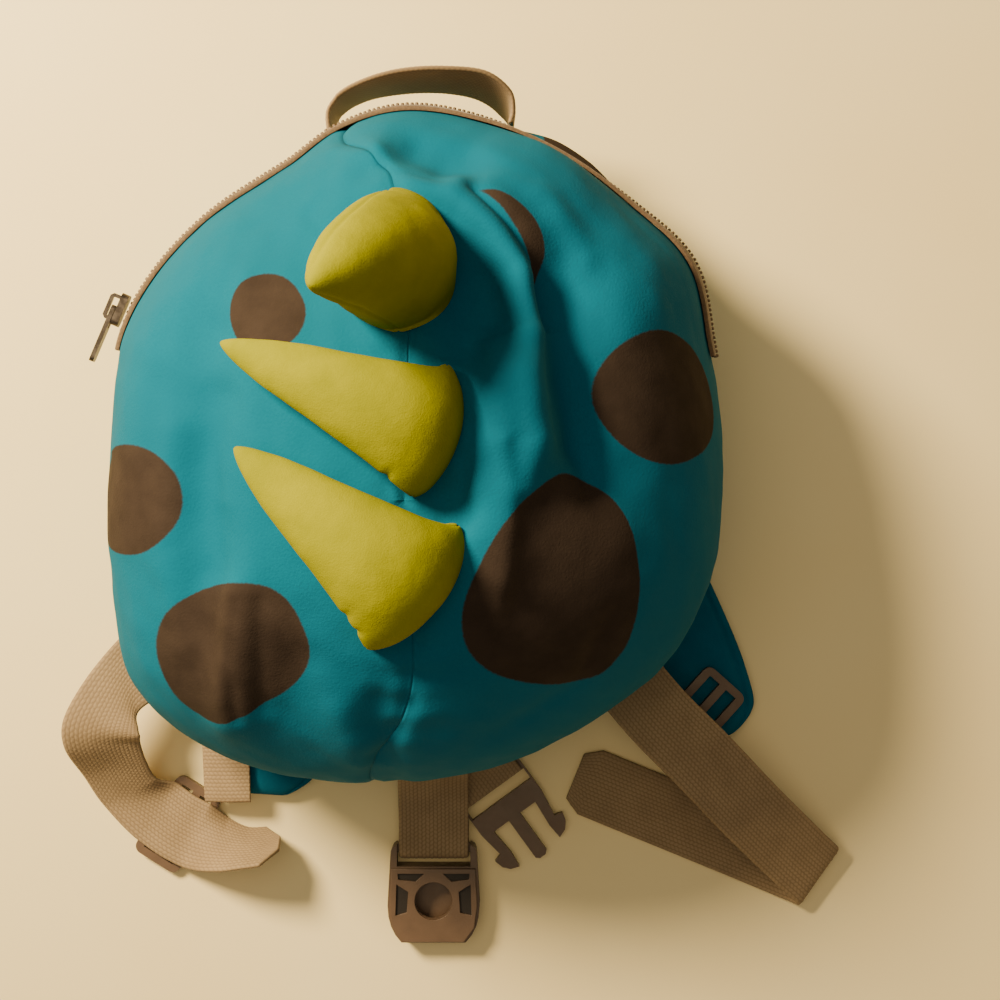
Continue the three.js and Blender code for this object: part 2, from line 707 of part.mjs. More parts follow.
function tetherStrap() {
  const wrap = barThickness / 2 + clearance + 0.1 + webThickness / 2;
  const slotY = buckleY - barWidth - clearance - 0.1 - webThickness / 2;
  const corner = slotY + wrap * 0.25;
  const across = vector(1, 0, 0);
  const at = (y, level) => station(tetherX, y, level, across);
  return webbing([
    ...tetherTop,
    at(tetherY - 8, 15.5),
    at(tetherY - 17, 10),
    at(buckleY + 5, barLevel + wrap + 0.4),
    at(buckleY - barWidth * 0.8, barLevel + wrap),
    at(corner, barLevel + wrap * 0.8),
    at(slotY, barLevel + barThickness * 0.3),
    at(slotY, barLevel - barThickness * 0.3),
    at(corner, barLevel - wrap * 0.8),
    at(buckleY - barWidth * 0.8, barLevel - wrap),
    at(buckleY + 7, barLevel - wrap),
  ], 50);
}

// The buckle half that takes the prongs: a flat hollow body, mouth away from the bag, with a round
// window, two side windows and a slot with a bar for the webbing. Drawn with its bar end at y = 0.
function tetherBuckle() {
  const shape = new THREE.Shape();
  const half = buckleWidth / 2;
  shape.moveTo(-half + 4, 0);
  shape.lineTo(half - 4, 0);
  shape.quadraticCurveTo(half - 1, 0, half - 1, -4);
  shape.lineTo(half, -buckleLength * 0.62);
  shape.quadraticCurveTo(half, -buckleLength * 0.86, half - 5, -buckleLength);
  shape.lineTo(-half + 5, -buckleLength);
  shape.quadraticCurveTo(-half, -buckleLength * 0.86, -half, -buckleLength * 0.62);
  shape.lineTo(-half + 1, -4);
  shape.quadraticCurveTo(-half + 1, 0, -half + 4, 0);
  const slotCentre = -barWidth - slotGap / 2;
  const mouthDepth = buckleLength + slotCentre - slotGap / 2 - 3;
  const mouthHeight = buckleThickness - 2 * buckleWall;
  const body = toManifold(plate(shape, buckleThickness, 4));
  const slot = box(webWidth + 1.4, slotGap, buckleThickness + 2, 0, slotCentre, barLevel);
  const barRoom = (buckleThickness - barThickness) / 2;
  const overBar = box(webWidth + 1.4, barWidth + 2, barRoom + 1, 0, -barWidth / 2,
    buckleThickness - barRoom / 2 + 0.5);
  const underBar = box(webWidth + 1.4, barWidth + 2, barRoom + 1, 0, -barWidth / 2,
    barRoom / 2 - 0.5);
  const mouth = box(buckleWidth - 9, mouthDepth + 2, mouthHeight, 0,
    -buckleLength + mouthDepth / 2 - 1, barLevel);
  const window = new THREE.CylinderGeometry(windowRadius, windowRadius, buckleThickness, 20)
    .rotateX(Math.PI / 2).translate(0, -buckleLength * 0.57, buckleThickness);
  const sideLength = buckleLength * 0.34;
  let solid = body;
  for (const cut of [slot, overBar, underBar, mouth, window]) solid = solid.subtract(toManifold(cut));
  for (const side of [-1, 1]) {
    const cut = box(9, sideLength, mouthHeight, side * (half - 2), -buckleLength * 0.55, barLevel);
    solid = solid.subtract(toManifold(cut));
  }
  return fromManifold(solid).translate(tetherX, buckleY, 0);
}

addPiece('tether_strap', tetherStrap(), taupe);
addPiece('tether_buckle', tetherBuckle(), brown);

// The buckle half with the three prongs, on a short webbing, lying to the right of the tether. It
// is drawn with its slot at the origin and its prongs along +x.
const prongTurn = 281;
const prongHeading = degrees(-54);
const prongLevel = 14;
const prongRoot = rootStations(prongTurn, prongLevel, 3.4);
const prongReach = vector(9, -21.5, 0);
const prongSlot = prongRoot[0].place.clone().add(prongReach).setZ(0);

function prongBuckle() {
  const half = buckleWidth / 2 - 3;
  const base = slotGap + barWidth + 2.5;
  const shape = new THREE.Shape();
  shape.moveTo(-base / 2, -half + 2);
  shape.quadraticCurveTo(-base / 2, -half, -base / 2 + 2, -half);
  shape.lineTo(base, -half);
  shape.lineTo(base + prongLength * 0.5, -half + 1.5);
  shape.lineTo(base + prongLength * 0.55, -half - 1.5);
  shape.quadraticCurveTo(base + prongLength * 0.85, -half - 1, base + prongLength * 0.9, -half + 4.5);
  shape.lineTo(base + prongLength * 0.6, -half + 5);
  shape.lineTo(base + 1.5, -half + 4.2);
  shape.lineTo(base + 1.5, -2.4);
  shape.lineTo(base + prongLength - 1, -2.4);
  shape.lineTo(base + prongLength, -1.2);
  shape.lineTo(base + prongLength, 1.2);
  shape.lineTo(base + prongLength - 1, 2.4);
  shape.lineTo(base + 1.5, 2.4);
  shape.lineTo(base + 1.5, half - 4.2);
  shape.lineTo(base + prongLength * 0.6, half - 5);
  shape.lineTo(base + prongLength * 0.9, half - 4.5);
  shape.quadraticCurveTo(base + prongLength * 0.85, half + 1, base + prongLength * 0.55, half + 1.5);
  shape.lineTo(base + prongLength * 0.5, half - 1.5);
  shape.lineTo(base, half);
  shape.lineTo(-base / 2 + 2, half);
  shape.quadraticCurveTo(-base / 2, half, -base / 2, half - 2);
  shape.holes.push(rectangleHole(slotGap, webWidth + 1, slotGap / 2 - 0.5, 0));
  return plate(shape, prongThickness, 3).rotateZ(prongHeading)
    .translate(prongSlot.x, prongSlot.y, 0.2);
}

// The short webbing comes down onto the bar end of the pronged half and stops over its bar
function prongStrap() {
  const forward = vector(Math.cos(prongHeading), Math.sin(prongHeading), 0);
  const across = vector(-forward.y, forward.x, 0);
  const over = 0.2 + prongThickness + clearance + webThickness / 2;
  const lying = (back, level, swing) => ({
    place: prongSlot.clone().addScaledVector(forward, -back).setZ(level),
    across: across.clone().applyAxisAngle(upward, degrees(swing)),
  });
  return webbing([
    ...prongRoot,
    lying(12, 9.6, -14),
    lying(6.5, over + 1.6, -6),
    lying(1, over + 0.4, 0),
  ], 10, 1, true);
}

addPiece('prong_strap', prongStrap(), taupe);
addPiece('prong_buckle', prongBuckle(), brown);

// Shoulder pads: flat-bottomed padded straps that lie under the back panel. x and y are shares of
// the half width, wide is the share of the pad's width.
const padRoutes = {
  pad_left: [
    { x: -0.27, y: 0.9, wide: 0.9 }, { x: -0.38, y: 0.5, wide: 1 }, { x: -0.47, y: 0, wide: 1 },
    { x: -0.53, y: -0.5, wide: 1 }, { x: -0.56, y: -0.85, wide: 1 }, { x: -0.57, y: -0.98, wide: 0.92 },
    { x: -0.575, y: -1.055, wide: 0.62 },
  ],
  pad_right: [
    { x: 0.27, y: 0.9, wide: 0.9 }, { x: 0.43, y: 0.5, wide: 1 }, { x: 0.64, y: 0.05, wide: 1 },
    { x: 0.84, y: -0.35, wide: 1 }, { x: 0.97, y: -0.66, wide: 1 }, { x: 1.01, y: -0.79, wide: 0.92 },
    { x: 1.03, y: -0.86, wide: 0.62 },
  ],
};

function shoulderPad(route) {
  const curve = new THREE.CatmullRomCurve3(route.map((row) => vector(row.x * halfWidth,
    row.y * halfWidth, row.wide)), false, 'centripetal');
  const steps = 20;
  const rings = [];
  for (let step = 0; step <= steps; step += 1) {
    const share = step / steps;
    const place = curve.getPoint(share);
    const forward = curve.getTangent(share).setZ(0).normalize();
    const across = vector(forward.y, -forward.x, 0);
    const half = padWidth / 2 * place.z;
    const edge = padThickness * 0.3;
    const section = [
      [-half + edge, 0], [-half, edge], [-half, padThickness - 1.4 * edge],
      [-half + 1.6 * edge, padThickness], [half - 1.6 * edge, padThickness],
      [half, padThickness - 1.4 * edge], [half, edge], [half - edge, 0],
    ];
    rings.push(section.map(([side, level]) => vector(place.x, place.y, level)
      .addScaledVector(across, side)));
  }
  return loft(rings);
}

for (const [name, route] of Object.entries(padRoutes)) addPiece(name, shoulderPad(route), padding);

// Left webbing: leaves the lower left of the body, bends over and runs to the ladder lock
const leftRoot = rootStations(211, strapLevel, 4);
const lockLeft = { x: -0.89, y: -1.165, heading: -32 };
const onFloor = webThickness / 2 + 0.1;

function webbingLeft() {
  const at = (x, y, z, across) => station(x * halfWidth, y * halfWidth, z, across);
  return webbing([
    ...leftRoot,
    at(-1.02, -0.608, 24, vector(0.31, -0.98, 0)),
    at(-1.075, -0.71, 26.5, vector(0.75, -0.68, 0)),
    at(-1.11, -0.795, 26.5, vector(1.08, -0.2, 0)),
    at(-1.115, -0.85, 23, vector(1.06, 0.1, 0)),
    at(-1.09, -0.95, 14, vector(0.92, 0.26, 0.2)),
    at(-1.05, -1.04, 8, vector(0.8, 0.42, 0.2)),
    at(-0.965, -1.11, 5, vector(0.62, 0.78, 0)),
    at(-0.89, -1.165, 5, vector(0.53, 0.85, 0)),
    at(-0.82, -1.2, 5.6, vector(0.42, 0.9, -0.03)),
    at(-0.72, -1.225, 9.9, vector(0.12, 0.62, -0.7)),
    at(-0.63, -1.23, 13, vector(0, 0.4, -0.9)),
    at(-0.51, -1.215, 13.4, vector(-0.04, 0.34, -0.94)),
  ], 40, 0.35, true);
}

// The short webbing that holds the left ladder lock to its pad
function lockTabLeft() {
  const over = padThickness + clearance + webThickness / 2;
  const across = vector(-0.12, 0.98, 0);
  const at = (x, y, z) => station(x * halfWidth, y * halfWidth, z, across);
  return webbing([
    at(-0.62, -0.948, over + 0.2),
    at(-0.7, -0.95, over + 0.1),
    at(-0.75, -0.951, over * 0.92),
    at(-0.785, -0.952, over * 0.8),
  ], 8);
}

// Right webbing: a long tail that arches out, folds back under itself and ends in the shade
const rightRoot = rootStations(319, strapLevel, 5);

function webbingRight() {
  const at = (x, y, z, across) => station(x * halfWidth, y * halfWidth, z, across.normalize());
  const slant = vector(0.73, 0.68, 0);
  const crease = vector(0.573, 0.82, 0);
  const back = vector(0.378, 0.926, 0);
  return webbing([
    ...rightRoot,
    at(0.82, -0.75, 24, vector(0.76, 0.65, 0)),
    at(0.96, -0.89, 26, slant),
    at(1.14, -1.08, 21, slant),
    at(1.33, -1.27, 11, slant),
    at(1.405, -1.345, 5.8, crease),
    at(1.36, -1.33, onFloor + 0.9, back),
    at(1.2, -1.265, onFloor + 0.2, back),
    at(0.98, -1.175, onFloor, back),
    at(0.74, -1.077, onFloor, back),
    at(0.54, -0.995, onFloor, back),
  ], 44, 0.7, true);
}

addPiece('webbing_left', webbingLeft(), taupe);
addPiece('webbing_right', webbingRight(), taupe);
addPiece('lock_tab_left', lockTabLeft(), taupe);

// A ladder lock: a flat frame with two slots and three bars, drawn round its middle
function ladderLock() {
  const length = 3 * lockBar + 2 * slotGap;
  let solid = toManifold(plate(roundedRectangle(length, webWidth + 2 * lockRim, 3), lockThickness, 3));
  for (const side of [-1, 1]) {
    const slot = box(slotGap, webWidth + 1.4, lockThickness + 2, side * (slotGap + lockBar) / 2, 0,
      lockThickness / 2);
    solid = solid.subtract(toManifold(slot));
  }
  return fromManifold(solid);
}

function placeLock(name, x, y, z, heading) {
  const lock = addPiece(name, ladderLock(), brown);
  lock.rotation.z = degrees(heading);
  lock.position.set(x * halfWidth, y * halfWidth, z);
}

placeLock('ladder_lock_left', lockLeft.x, lockLeft.y, 0.3, lockLeft.heading);
placeLock('ladder_lock_right', 0.97, -0.76, padThickness + clearance + 0.1, -42);

// The group stands with its lowest point at z = 0 and the middle of its box over the origin
backpack.updateMatrixWorld(true);
const bounds = new THREE.Box3().setFromObject(backpack, true);
const centre = bounds.getCenter(vector(0, 0, 0));
backpack.position.set(-centre.x, -centre.y, -bounds.min.z);

export default backpack;
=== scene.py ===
"""A kids' animal backpack that lies on its back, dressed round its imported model.

The scene is in metres. The bag's forms are worked out in millimetres in the bag's own frame, whose
origin is under the crown, with +Y to the grab handle and +Z out of the front.
"""
import math

import bpy
import numpy as np
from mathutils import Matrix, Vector


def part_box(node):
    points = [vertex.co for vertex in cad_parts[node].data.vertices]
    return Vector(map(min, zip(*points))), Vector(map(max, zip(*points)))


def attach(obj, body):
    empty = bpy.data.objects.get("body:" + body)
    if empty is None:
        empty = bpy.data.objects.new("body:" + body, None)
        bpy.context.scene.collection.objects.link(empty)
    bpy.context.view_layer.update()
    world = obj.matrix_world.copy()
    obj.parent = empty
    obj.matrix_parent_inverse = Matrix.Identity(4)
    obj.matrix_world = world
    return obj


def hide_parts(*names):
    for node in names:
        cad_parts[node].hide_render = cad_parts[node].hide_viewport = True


MM = 0.001
HALF_PI = math.pi / 2

# Driving sizes of the bag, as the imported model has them
HALF_WIDTH = 100.5
CROWN_HEIGHT = 135
WIDE_LEVEL = 46
ZIP_LEVEL = 62
LOWER_SEAM_LEVEL = 33
BACK_CORNER = 14
BACK_LEVEL = 9.6
BACK_PANEL_THICKNESS = 4
CLEARANCE = 0.3
TAPE_ABOVE = 13
DOME_FULLNESS = 0.85
TUCK_SPREAD = 0.2
STRAP_LEVEL = 24

# About how many millimetres of cloth a radian of fall covers, on the front and on the side wall
FRONT_PER_RADIAN = 95
WALL_PER_RADIAN = 60

# The outline seen from the front: direction, reach, tuck at the zip and the seam's share of height
OUTLINE = np.array([
    (0, 1.0, 0, 0.5), (15, 1.03, 0, 0.8), (28, 1.085, 0, 0.96), (41, 1.185, 0, 1),
    (54, 1.215, 0.02, 1), (69, 1.285, 0.055, 1), (80, 1.275, 0.015, 1), (92, 1.28, 0, 1),
    (102, 1.24, 0, 1), (111, 1.175, 0, 1), (128, 1.145, 0, 1), (145, 1.115, 0, 1),
    (157, 1.055, 0, 0.95), (170, 1.01, 0, 0.7), (187, 1.01, 0, 0.35), (200, 1.055, 0, 0.1),
    (215, 1.105, 0, 0), (232, 1.055, 0, 0), (250, 0.975, 0, 0), (268, 0.93, 0, 0),
    (288, 0.91, 0, 0), (310, 0.935, 0, 0), (328, 0.98, 0, 0), (345, 1.0, 0, 0.2),
])

# The front's folds and dents: rise, width and the line that each follows, in half widths
FOLDS = [
    (0.075, 0.1, [
        (-0.1, 1.0), (0.18, 0.88), (0.33, 0.69), (0.39, 0.5), (0.36, 0.35), (0.39, 0.17),
    ]),
    (-0.065, 0.12, [(0.44, 0.68), (0.52, 0.42), (0.57, 0.1)]),
    (-0.085, 0.13, [(0.2, 0.66), (0.21, 0.5)]),
    (0.035, 0.09, [(0.23, 0.3), (0.25, -0.2)]),
    (-0.05, 0.07, [(0.11, 0.03), (0.14, -0.02)]),
    (-0.05, 0.09, [(0.02, 1.06), (0.16, 1.02)]),
    (-0.05, 0.11, [(-0.6, 0.52), (-0.63, 0.1), (-0.62, -0.38)]),
    (0.03, 0.12, [(-0.86, 0.45), (-0.87, -0.1)]),
    (0.035, 0.08, [(-0.5, -0.28), (-0.54, -0.66)]),
    (-0.03, 0.1, [(-0.34, -0.5), (-0.36, -0.68)]),
    (-0.02, 0.05, [(-0.09, -0.6), (-0.07, -0.94)]),
    (-0.025, 0.13, [(-0.44, 0.86), (-0.3, 0.66)]),
    (-0.03, 0.16, [(0.34, -0.64), (0.62, -0.5)]),
]

# Finer creases of the cloth, in the same form
CREASES = [
    (0.026, 0.045, [(-0.06, 0.97), (0.12, 0.9), (0.24, 0.8), (0.33, 0.68), (0.37, 0.5)]),
    (-0.034, 0.03, [(0.2, 0.93), (0.31, 0.81), (0.4, 0.67), (0.43, 0.54)]),
    (-0.04, 0.07, [(0.42, 0.6), (0.47, 0.38), (0.5, 0.16)]),
    (0.022, 0.05, [(0.36, 0.46), (0.35, 0.34), (0.38, 0.18), (0.34, 0.04)]),
    (-0.045, 0.06, [(-0.13, 1.01), (0.08, 0.97)]),
    (0.02, 0.05, [(0.22, 1.05), (0.42, 0.9), (0.52, 0.72)]),
    (-0.03, 0.05, [(0.22, 0.64), (0.24, 0.53)]),
    (0.03, 0.07, [(0.27, 0.42), (0.28, 0.2)]),
    (-0.02, 0.06, [(-0.56, 0.3), (-0.6, 0.0), (-0.58, -0.2)]),
    (0.018, 0.06, [(-0.7, 0.2), (-0.74, -0.14), (-0.66, -0.42)]),
    (-0.008, 0.02, [(-0.5, -0.3), (-0.53, -0.5), (-0.52, -0.66)]),
    (0.012, 0.05, [(-0.2, -0.62), (-0.17, -0.8)]),
    (-0.012, 0.035, [(0.46, 0.52), (0.5, 0.3), (0.53, 0.02)]),
    (0.01, 0.03, [(0.28, 0.16), (0.3, -0.06), (0.27, -0.3)]),
    (-0.01, 0.025, [(0.16, 0.12), (0.17, -0.08)]),
    (0.008, 0.03, [(-0.5, -0.26), (-0.56, -0.6)]),
    (-0.008, 0.03, [(-0.42, -0.3), (-0.44, -0.62)]),
    (-0.01, 0.03, [(-0.3, 0.86), (-0.2, 0.74)]),
    (0.008, 0.04, [(-0.5, 0.66), (-0.56, 0.3), (-0.54, 0.0)]),
    (-0.008, 0.03, [(0.02, 1.08), (0.2, 1.04), (0.36, 0.96)]),
    (-0.008, 0.03, [(0.6, -0.34), (0.5, -0.56), (0.28, -0.7)]),
]

# The centre seam's direction round the bag at the top and the bottom, by share of the way out
SEAM_LINE = np.array([
    (0, 90, 270), (0.3, 89, 272), (0.55, 93, 262), (0.8, 101, 262), (1, 99.5, 266),
])


def srgb(red, green, blue):
    """A colour given as 0 to 255, as the shaders take it."""
    def linear(value):
        share = value / 255
        return share / 12.92 if share <= 0.04045 else ((share + 0.055) / 1.055) ** 2.4
    return (linear(red), linear(green), linear(blue), 1)


# Shape of the bag


def smooth_rows(at, values, places, period=None):
    """The values at some places, on a smooth curve through a table's rows."""
    places = np.asarray(places, float)
    if period:
        at = np.concatenate([at[-2:] - period, at, at[:2] + period])
        values = np.concatenate([values[-2:], values, values[:2]])
        places = np.mod(places, period)
    low = np.clip(np.searchsorted(at, places, side="right") - 1, 0, len(at) - 2)
    before = np.maximum(low - 1, 0)
    after = np.minimum(low + 2, len(at) - 1)
    span = at[low + 1] - at[low]
    share = (places - at[low]) / span
    slope_in = (values[low + 1] - values[before]) / (at[low + 1] - at[before]) * span
    slope_out = (values[after] - values[low]) / (at[after] - at[low]) * span
    square = share * share
    cube = square * share
    return (
        (2 * cube - 3 * square + 1) * values[low] + (cube - 2 * square + share) * slope_in
        + (3 * square - 2 * cube) * values[low + 1] + (cube - square) * slope_out
    )


def heading(turn):
    """Unit vectors of the front view at directions round the bag, in degrees."""
    return np.stack([np.cos(np.radians(turn)), np.sin(np.radians(turn))], -1)


def around(column, turn):
    return smooth_rows(OUTLINE[:, 0], OUTLINE[:, column], turn, 360)


def reach_at(turn):
    return HALF_WIDTH * around(1, turn)


def fall_at_level(level):
    """How far down the side a level lies, in radians: 0 at the crown, pi at the back's edge."""
    high = (np.maximum(level, WIDE_LEVEL) - WIDE_LEVEL) / (CROWN_HEIGHT - WIDE_LEVEL)
    low = (WIDE_LEVEL - np.minimum(level, WIDE_LEVEL)) / (WIDE_LEVEL - BACK_LEVEL)
    return np.where(
        level >= WIDE_LEVEL, np.arccos(high ** (1 / DOME_FULLNESS)), HALF_PI + np.arcsin(low)
    )


ZIP_FALL = fall_at_level(ZIP_LEVEL)


def seam_fall(turn):
    """How far down the side the zip or the lower seam runs, at directions round the bag."""
    share = np.clip(around(3, turn), 0, 1)
    return fall_at_level(LOWER_SEAM_LEVEL + (ZIP_LEVEL - LOWER_SEAM_LEVEL) * share)


def lift_of(folds, plan):
    """How far some folds lift points of the front, from their places in the front view."""
    lift = np.zeros(plan.shape[:-1])
    place = plan / HALF_WIDTH
    for rise, width, line in folds:
        nearest = np.full(lift.shape, np.inf)
        for start, end in zip(line, line[1:]):
            start = np.array(start)
            along = np.array(end) - start
            offset = place - start
            share = np.clip(offset @ along / (along @ along), 0, 1)
            away = offset - share[..., None] * along
            nearest = np.minimum(nearest, np.hypot(away[..., 0], away[..., 1]))
        lift += rise * HALF_WIDTH * np.exp(-(nearest / width) ** 2)
    return lift


def surface(turn, fall):
    """The bag's surface at directions round it, in degrees, and falls down its side."""
    turn, fall = np.broadcast_arrays(np.asarray(turn, float), np.asarray(fall, float))
    direction = heading(turn)
    reach = reach_at(turn)
    is_under = fall > HALF_PI
    under = np.maximum(fall - HALF_PI, 0)
    above = np.minimum(fall, HALF_PI)
    rise = np.maximum(np.cos(above), 0)
    tuck = around(2, turn) * np.exp(-((above - ZIP_FALL) / TUCK_SPREAD) ** 2)
    out = np.where(
        is_under, reach - BACK_CORNER * (1 - np.cos(under)), reach * np.sin(above) * (1 - tuck)
    )
    level = np.where(
        is_under, WIDE_LEVEL - (WIDE_LEVEL - BACK_LEVEL) * np.sin(under),
        WIDE_LEVEL + (CROWN_HEIGHT - WIDE_LEVEL) * rise ** DOME_FULLNESS,
    )
    plan = direction * out[..., None]
    lift = lift_of(FOLDS, plan) * rise ** 0.25
    return np.stack([
        plan[..., 0] + direction[..., 0] * np.sin(above) * lift,
        plan[..., 1] + direction[..., 1] * np.sin(above) * lift,
        level + rise * lift,
    ], -1)


def unit(vectors):
    return vectors / np.maximum(np.linalg.norm(vectors, axis=-1, keepdims=True), 1e-9)


def run_along(path):
    """How far along a path each of its points lies."""
    return np.concatenate([[0], np.cumsum(np.linalg.norm(np.diff(path, axis=0), axis=1))])


def surface_normal(turn, fall):
    step = 0.02
    turn, fall = np.broadcast_arrays(np.asarray(turn, float), np.asarray(fall, float))
    safe = np.maximum(fall, step)
    down = surface(turn, np.minimum(safe + step, math.pi)) - surface(turn, safe - step)
    sideways = surface(turn + 1, safe) - surface(turn - 1, safe)
    return unit(np.cross(down, sideways))


def body_point(turn, fall, lift):
    """A point that stands a lift off the bag's surface."""
    normal = surface_normal(turn, fall)
    return surface(turn, fall) + normal * np.broadcast_to(lift, normal.shape[:-1])[..., None]


def front_point(plan, lift):
    """The surface above places in the front view."""
    turn = np.degrees(np.arctan2(plan[..., 1], plan[..., 0]))
    fall = np.arcsin(np.minimum(np.hypot(plan[..., 0], plan[..., 1]) / reach_at(turn), 1))
    return body_point(turn, fall, lift)


def ripples(points, wavelength, seed):
    """Smooth uneven waves of about one wavelength over points, from -1 to 1."""
    random = np.random.default_rng(seed)
    waves = 14
    directions = unit(random.normal(size=(waves, 3)))
    lengths = wavelength * random.uniform(0.7, 1.5, waves)
    phases = random.uniform(0, 2 * math.pi, waves)
    total = np.zeros(points.shape[:-1])
    for direction, length, phase in zip(directions, lengths, phases):
        total += np.sin(points @ direction * 2 * math.pi / length + phase)
    return total / math.sqrt(waves) / 1.6


# Frame, and where the bag's own frame lies in it

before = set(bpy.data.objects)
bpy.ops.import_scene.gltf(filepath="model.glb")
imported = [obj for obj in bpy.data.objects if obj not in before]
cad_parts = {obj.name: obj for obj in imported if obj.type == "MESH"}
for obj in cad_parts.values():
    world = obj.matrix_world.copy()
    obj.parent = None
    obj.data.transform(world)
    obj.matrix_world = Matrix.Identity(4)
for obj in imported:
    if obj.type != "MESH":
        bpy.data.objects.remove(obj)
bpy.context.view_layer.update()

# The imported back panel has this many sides, and its low corner says where it lies in the scene
PANEL_SIDES = 56
panel_turns = np.arange(PANEL_SIDES) * 360 / PANEL_SIDES
panel_reach = reach_at(panel_turns) - BACK_CORNER - CLEARANCE
panel_plan = heading(panel_turns) * panel_reach[:, None]
panel_low = np.append(panel_plan.min(axis=0), BACK_LEVEL)
SHIFT = np.array(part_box("back_panel")[0]) / MM - panel_low


def to_scene(points):
    """Points in the bag's frame, in millimetres, as scene points in metres."""
    return (np.asarray(points, float) + SHIFT) * MM


def link(name, data):
    """A new object in the scene."""
    made = bpy.data.objects.new(name, data)
    bpy.context.scene.collection.objects.link(made)
    return made


def add_object(name, points, faces, material):
    """A smooth mesh of points in the bag's frame, which rides on the bag's body."""
    mesh = bpy.data.meshes.new(name)
    mesh.from_pydata(to_scene(points).reshape(-1, 3).tolist(), [], faces)
    mesh.materials.append(material)
    mesh.polygons.foreach_set("use_smooth", [True] * len(mesh.polygons))
    mesh.validate()
    made = link(name, mesh)
    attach(made, "bag")
    return made


def grid_faces(rows, columns, closed=False, start=0):
    """Quads over a grid of points, rows going down the side and columns going round it."""
    faces = []
    last = columns if closed else columns - 1
    for row in range(rows - 1):
        for column in range(last):
            beside = (column + 1) % columns
            faces.append((
                start + row * columns + column, start + (row + 1) * columns + column,
                start + (row + 1) * columns + beside, start + row * columns + beside,
            ))
    return faces


def store(made, name, values):
    """A number at each point of a mesh, for its material."""
    attribute = made.data.attributes.new(name, "FLOAT", "POINT")
    attribute.data.foreach_set("value", np.asarray(values, np.float32).ravel())


# Materials


class Finish:
    """A material with the node helpers that the finishes share."""

    def __init__(self, name, roughness, **sockets):
        self.material = bpy.data.materials.new(name)
        self.material.use_nodes = True
        self.tree = self.material.node_tree
        self.shader = self.tree.nodes["Principled BSDF"]
        self.shader.inputs["Roughness"].default_value = roughness
        for socket, value in sockets.items():
            self.shader.inputs[socket.replace("_", " ")].default_value = value

    def node(self, kind, **inputs):
        made = self.tree.nodes.new(kind)
        for socket, value in inputs.items():
            self.plug(value, made.inputs[socket.replace("_", " ")])
        return made

    def plug(self, value, socket):
        if isinstance(value, bpy.types.NodeSocket):
            self.tree.links.new(value, socket)
        else:
            socket.default_value = value

    def place(self):
        """The point in the scene's frame, which lies still on the piece."""
        return self.node("ShaderNodeTexCoord").outputs["Object"]

    def noise(self, size, detail=3.0):
        """Noise of about one size, in millimetres, from 0 to 1."""
        made = self.node("ShaderNodeTexNoise", Vector=self.place(), Scale=1 / (size * MM),
                         Detail=detail, Roughness=0.55)
        return made.outputs[0]

    def ramp(self, factor, low=0.3, high=0.7):
        """A factor stretched from the span between low and high to 0 to 1."""
        made = self.node("ShaderNodeMapRange", Value=factor)
        made.inputs["From Min"].default_value = low
        made.inputs["From Max"].default_value = high
        return made.outputs["Result"]

    def attribute(self, name):
        made = self.node("ShaderNodeAttribute")
        made.attribute_name = name
        return made.outputs["Fac"]

    def mix(self, factor, first, second):
        """The first colour where the factor is 0, and the second where it is 1."""
        made = self.tree.nodes.new("ShaderNodeMix")
        made.data_type = "RGBA"
        self.plug(factor, made.inputs["Factor"])
        self.plug(first, made.inputs[6])
        self.plug(second, made.inputs[7])
        return made.outputs[2]

    def math(self, operation, first, second):
        made = self.tree.nodes.new("ShaderNodeMath")
        made.operation = operation
        self.plug(first, made.inputs[0])
        self.plug(second, made.inputs[1])
        return made.outputs[0]

    def colour(self, value):
        self.plug(value, self.shader.inputs["Base Color"])

    def rough(self, value):
        self.plug(value, self.shader.inputs["Roughness"])

    def bump(self, *layers):
        """Bumps on each other, each a height from 0 to 1 and its depth in millimetres."""
        normal = None
        for height, depth in layers:
            made = self.tree.nodes.new("ShaderNodeBump")
            self.plug(height, made.inputs["Height"])
            made.inputs["Distance"].default_value = depth * MM
            if normal:
                self.plug(normal, made.inputs["Normal"])
            normal = made.outputs["Normal"]
        self.plug(normal, self.shader.inputs["Normal"])


TEAL = srgb(0, 100, 128)
TEAL_DEEP = srgb(0, 88, 116)
SPOT_BROWN = srgb(58, 48, 42)
SPOT_DARK = srgb(48, 39, 34)
LIME = srgb(146, 146, 0)
LIME_DEEP = srgb(128, 130, 0)
TAUPE = srgb(146, 124, 94)
# Painted shade for the gaps between the webbing's ribs
TAUPE_GAP_SHADE = srgb(98, 80, 57)
TAUPE_WORN = srgb(160, 137, 105)
TAPE_BROWN = srgb(112, 88, 62)
TAPE_DEEP = srgb(84, 65, 45)
# Painted shade for the holes of the back's mesh
MESH_HOLE_SHADE = srgb(0, 62, 72)
PLASTIC = srgb(104, 82, 64)
# Painted shade seen in the buckle half's sunk fields
PLASTIC_FIELD_SHADE = srgb(34, 27, 22)
TOOTH_BROWN = srgb(118, 98, 78)
METAL = srgb(78, 70, 62)
METAL_WORN = srgb(112, 102, 92)


def cloth_finish():
    """Soft brushed cloth with printed spots, whose outlines the mesh carries as a distance."""
    finish = Finish("teal_cloth", 0.9, Specular_IOR_Level=0.12)
    patches = finish.ramp(finish.noise(38), 0.3, 0.72)
    ground = finish.mix(patches, TEAL_DEEP, TEAL)
    grain = finish.noise(0.9, 2)
    ground = finish.mix(finish.ramp(grain, 0.35, 0.75), ground, TEAL_DEEP)
    ground = finish.mix(0.55, ground, TEAL)
    print_colour = finish.mix(finish.ramp(finish.noise(9), 0.3, 0.75), SPOT_DARK, SPOT_BROWN)
    edge = finish.math("ADD", finish.attribute("spot"), finish.math("MULTIPLY", grain, 0.5))
    inside = finish.ramp(edge, 0.0, 0.5)
    finish.colour(finish.mix(inside, ground, print_colour))
    finish.bump((finish.noise(14, 2), 0.35), (finish.noise(0.75, 2), 0.12))
    return finish.material


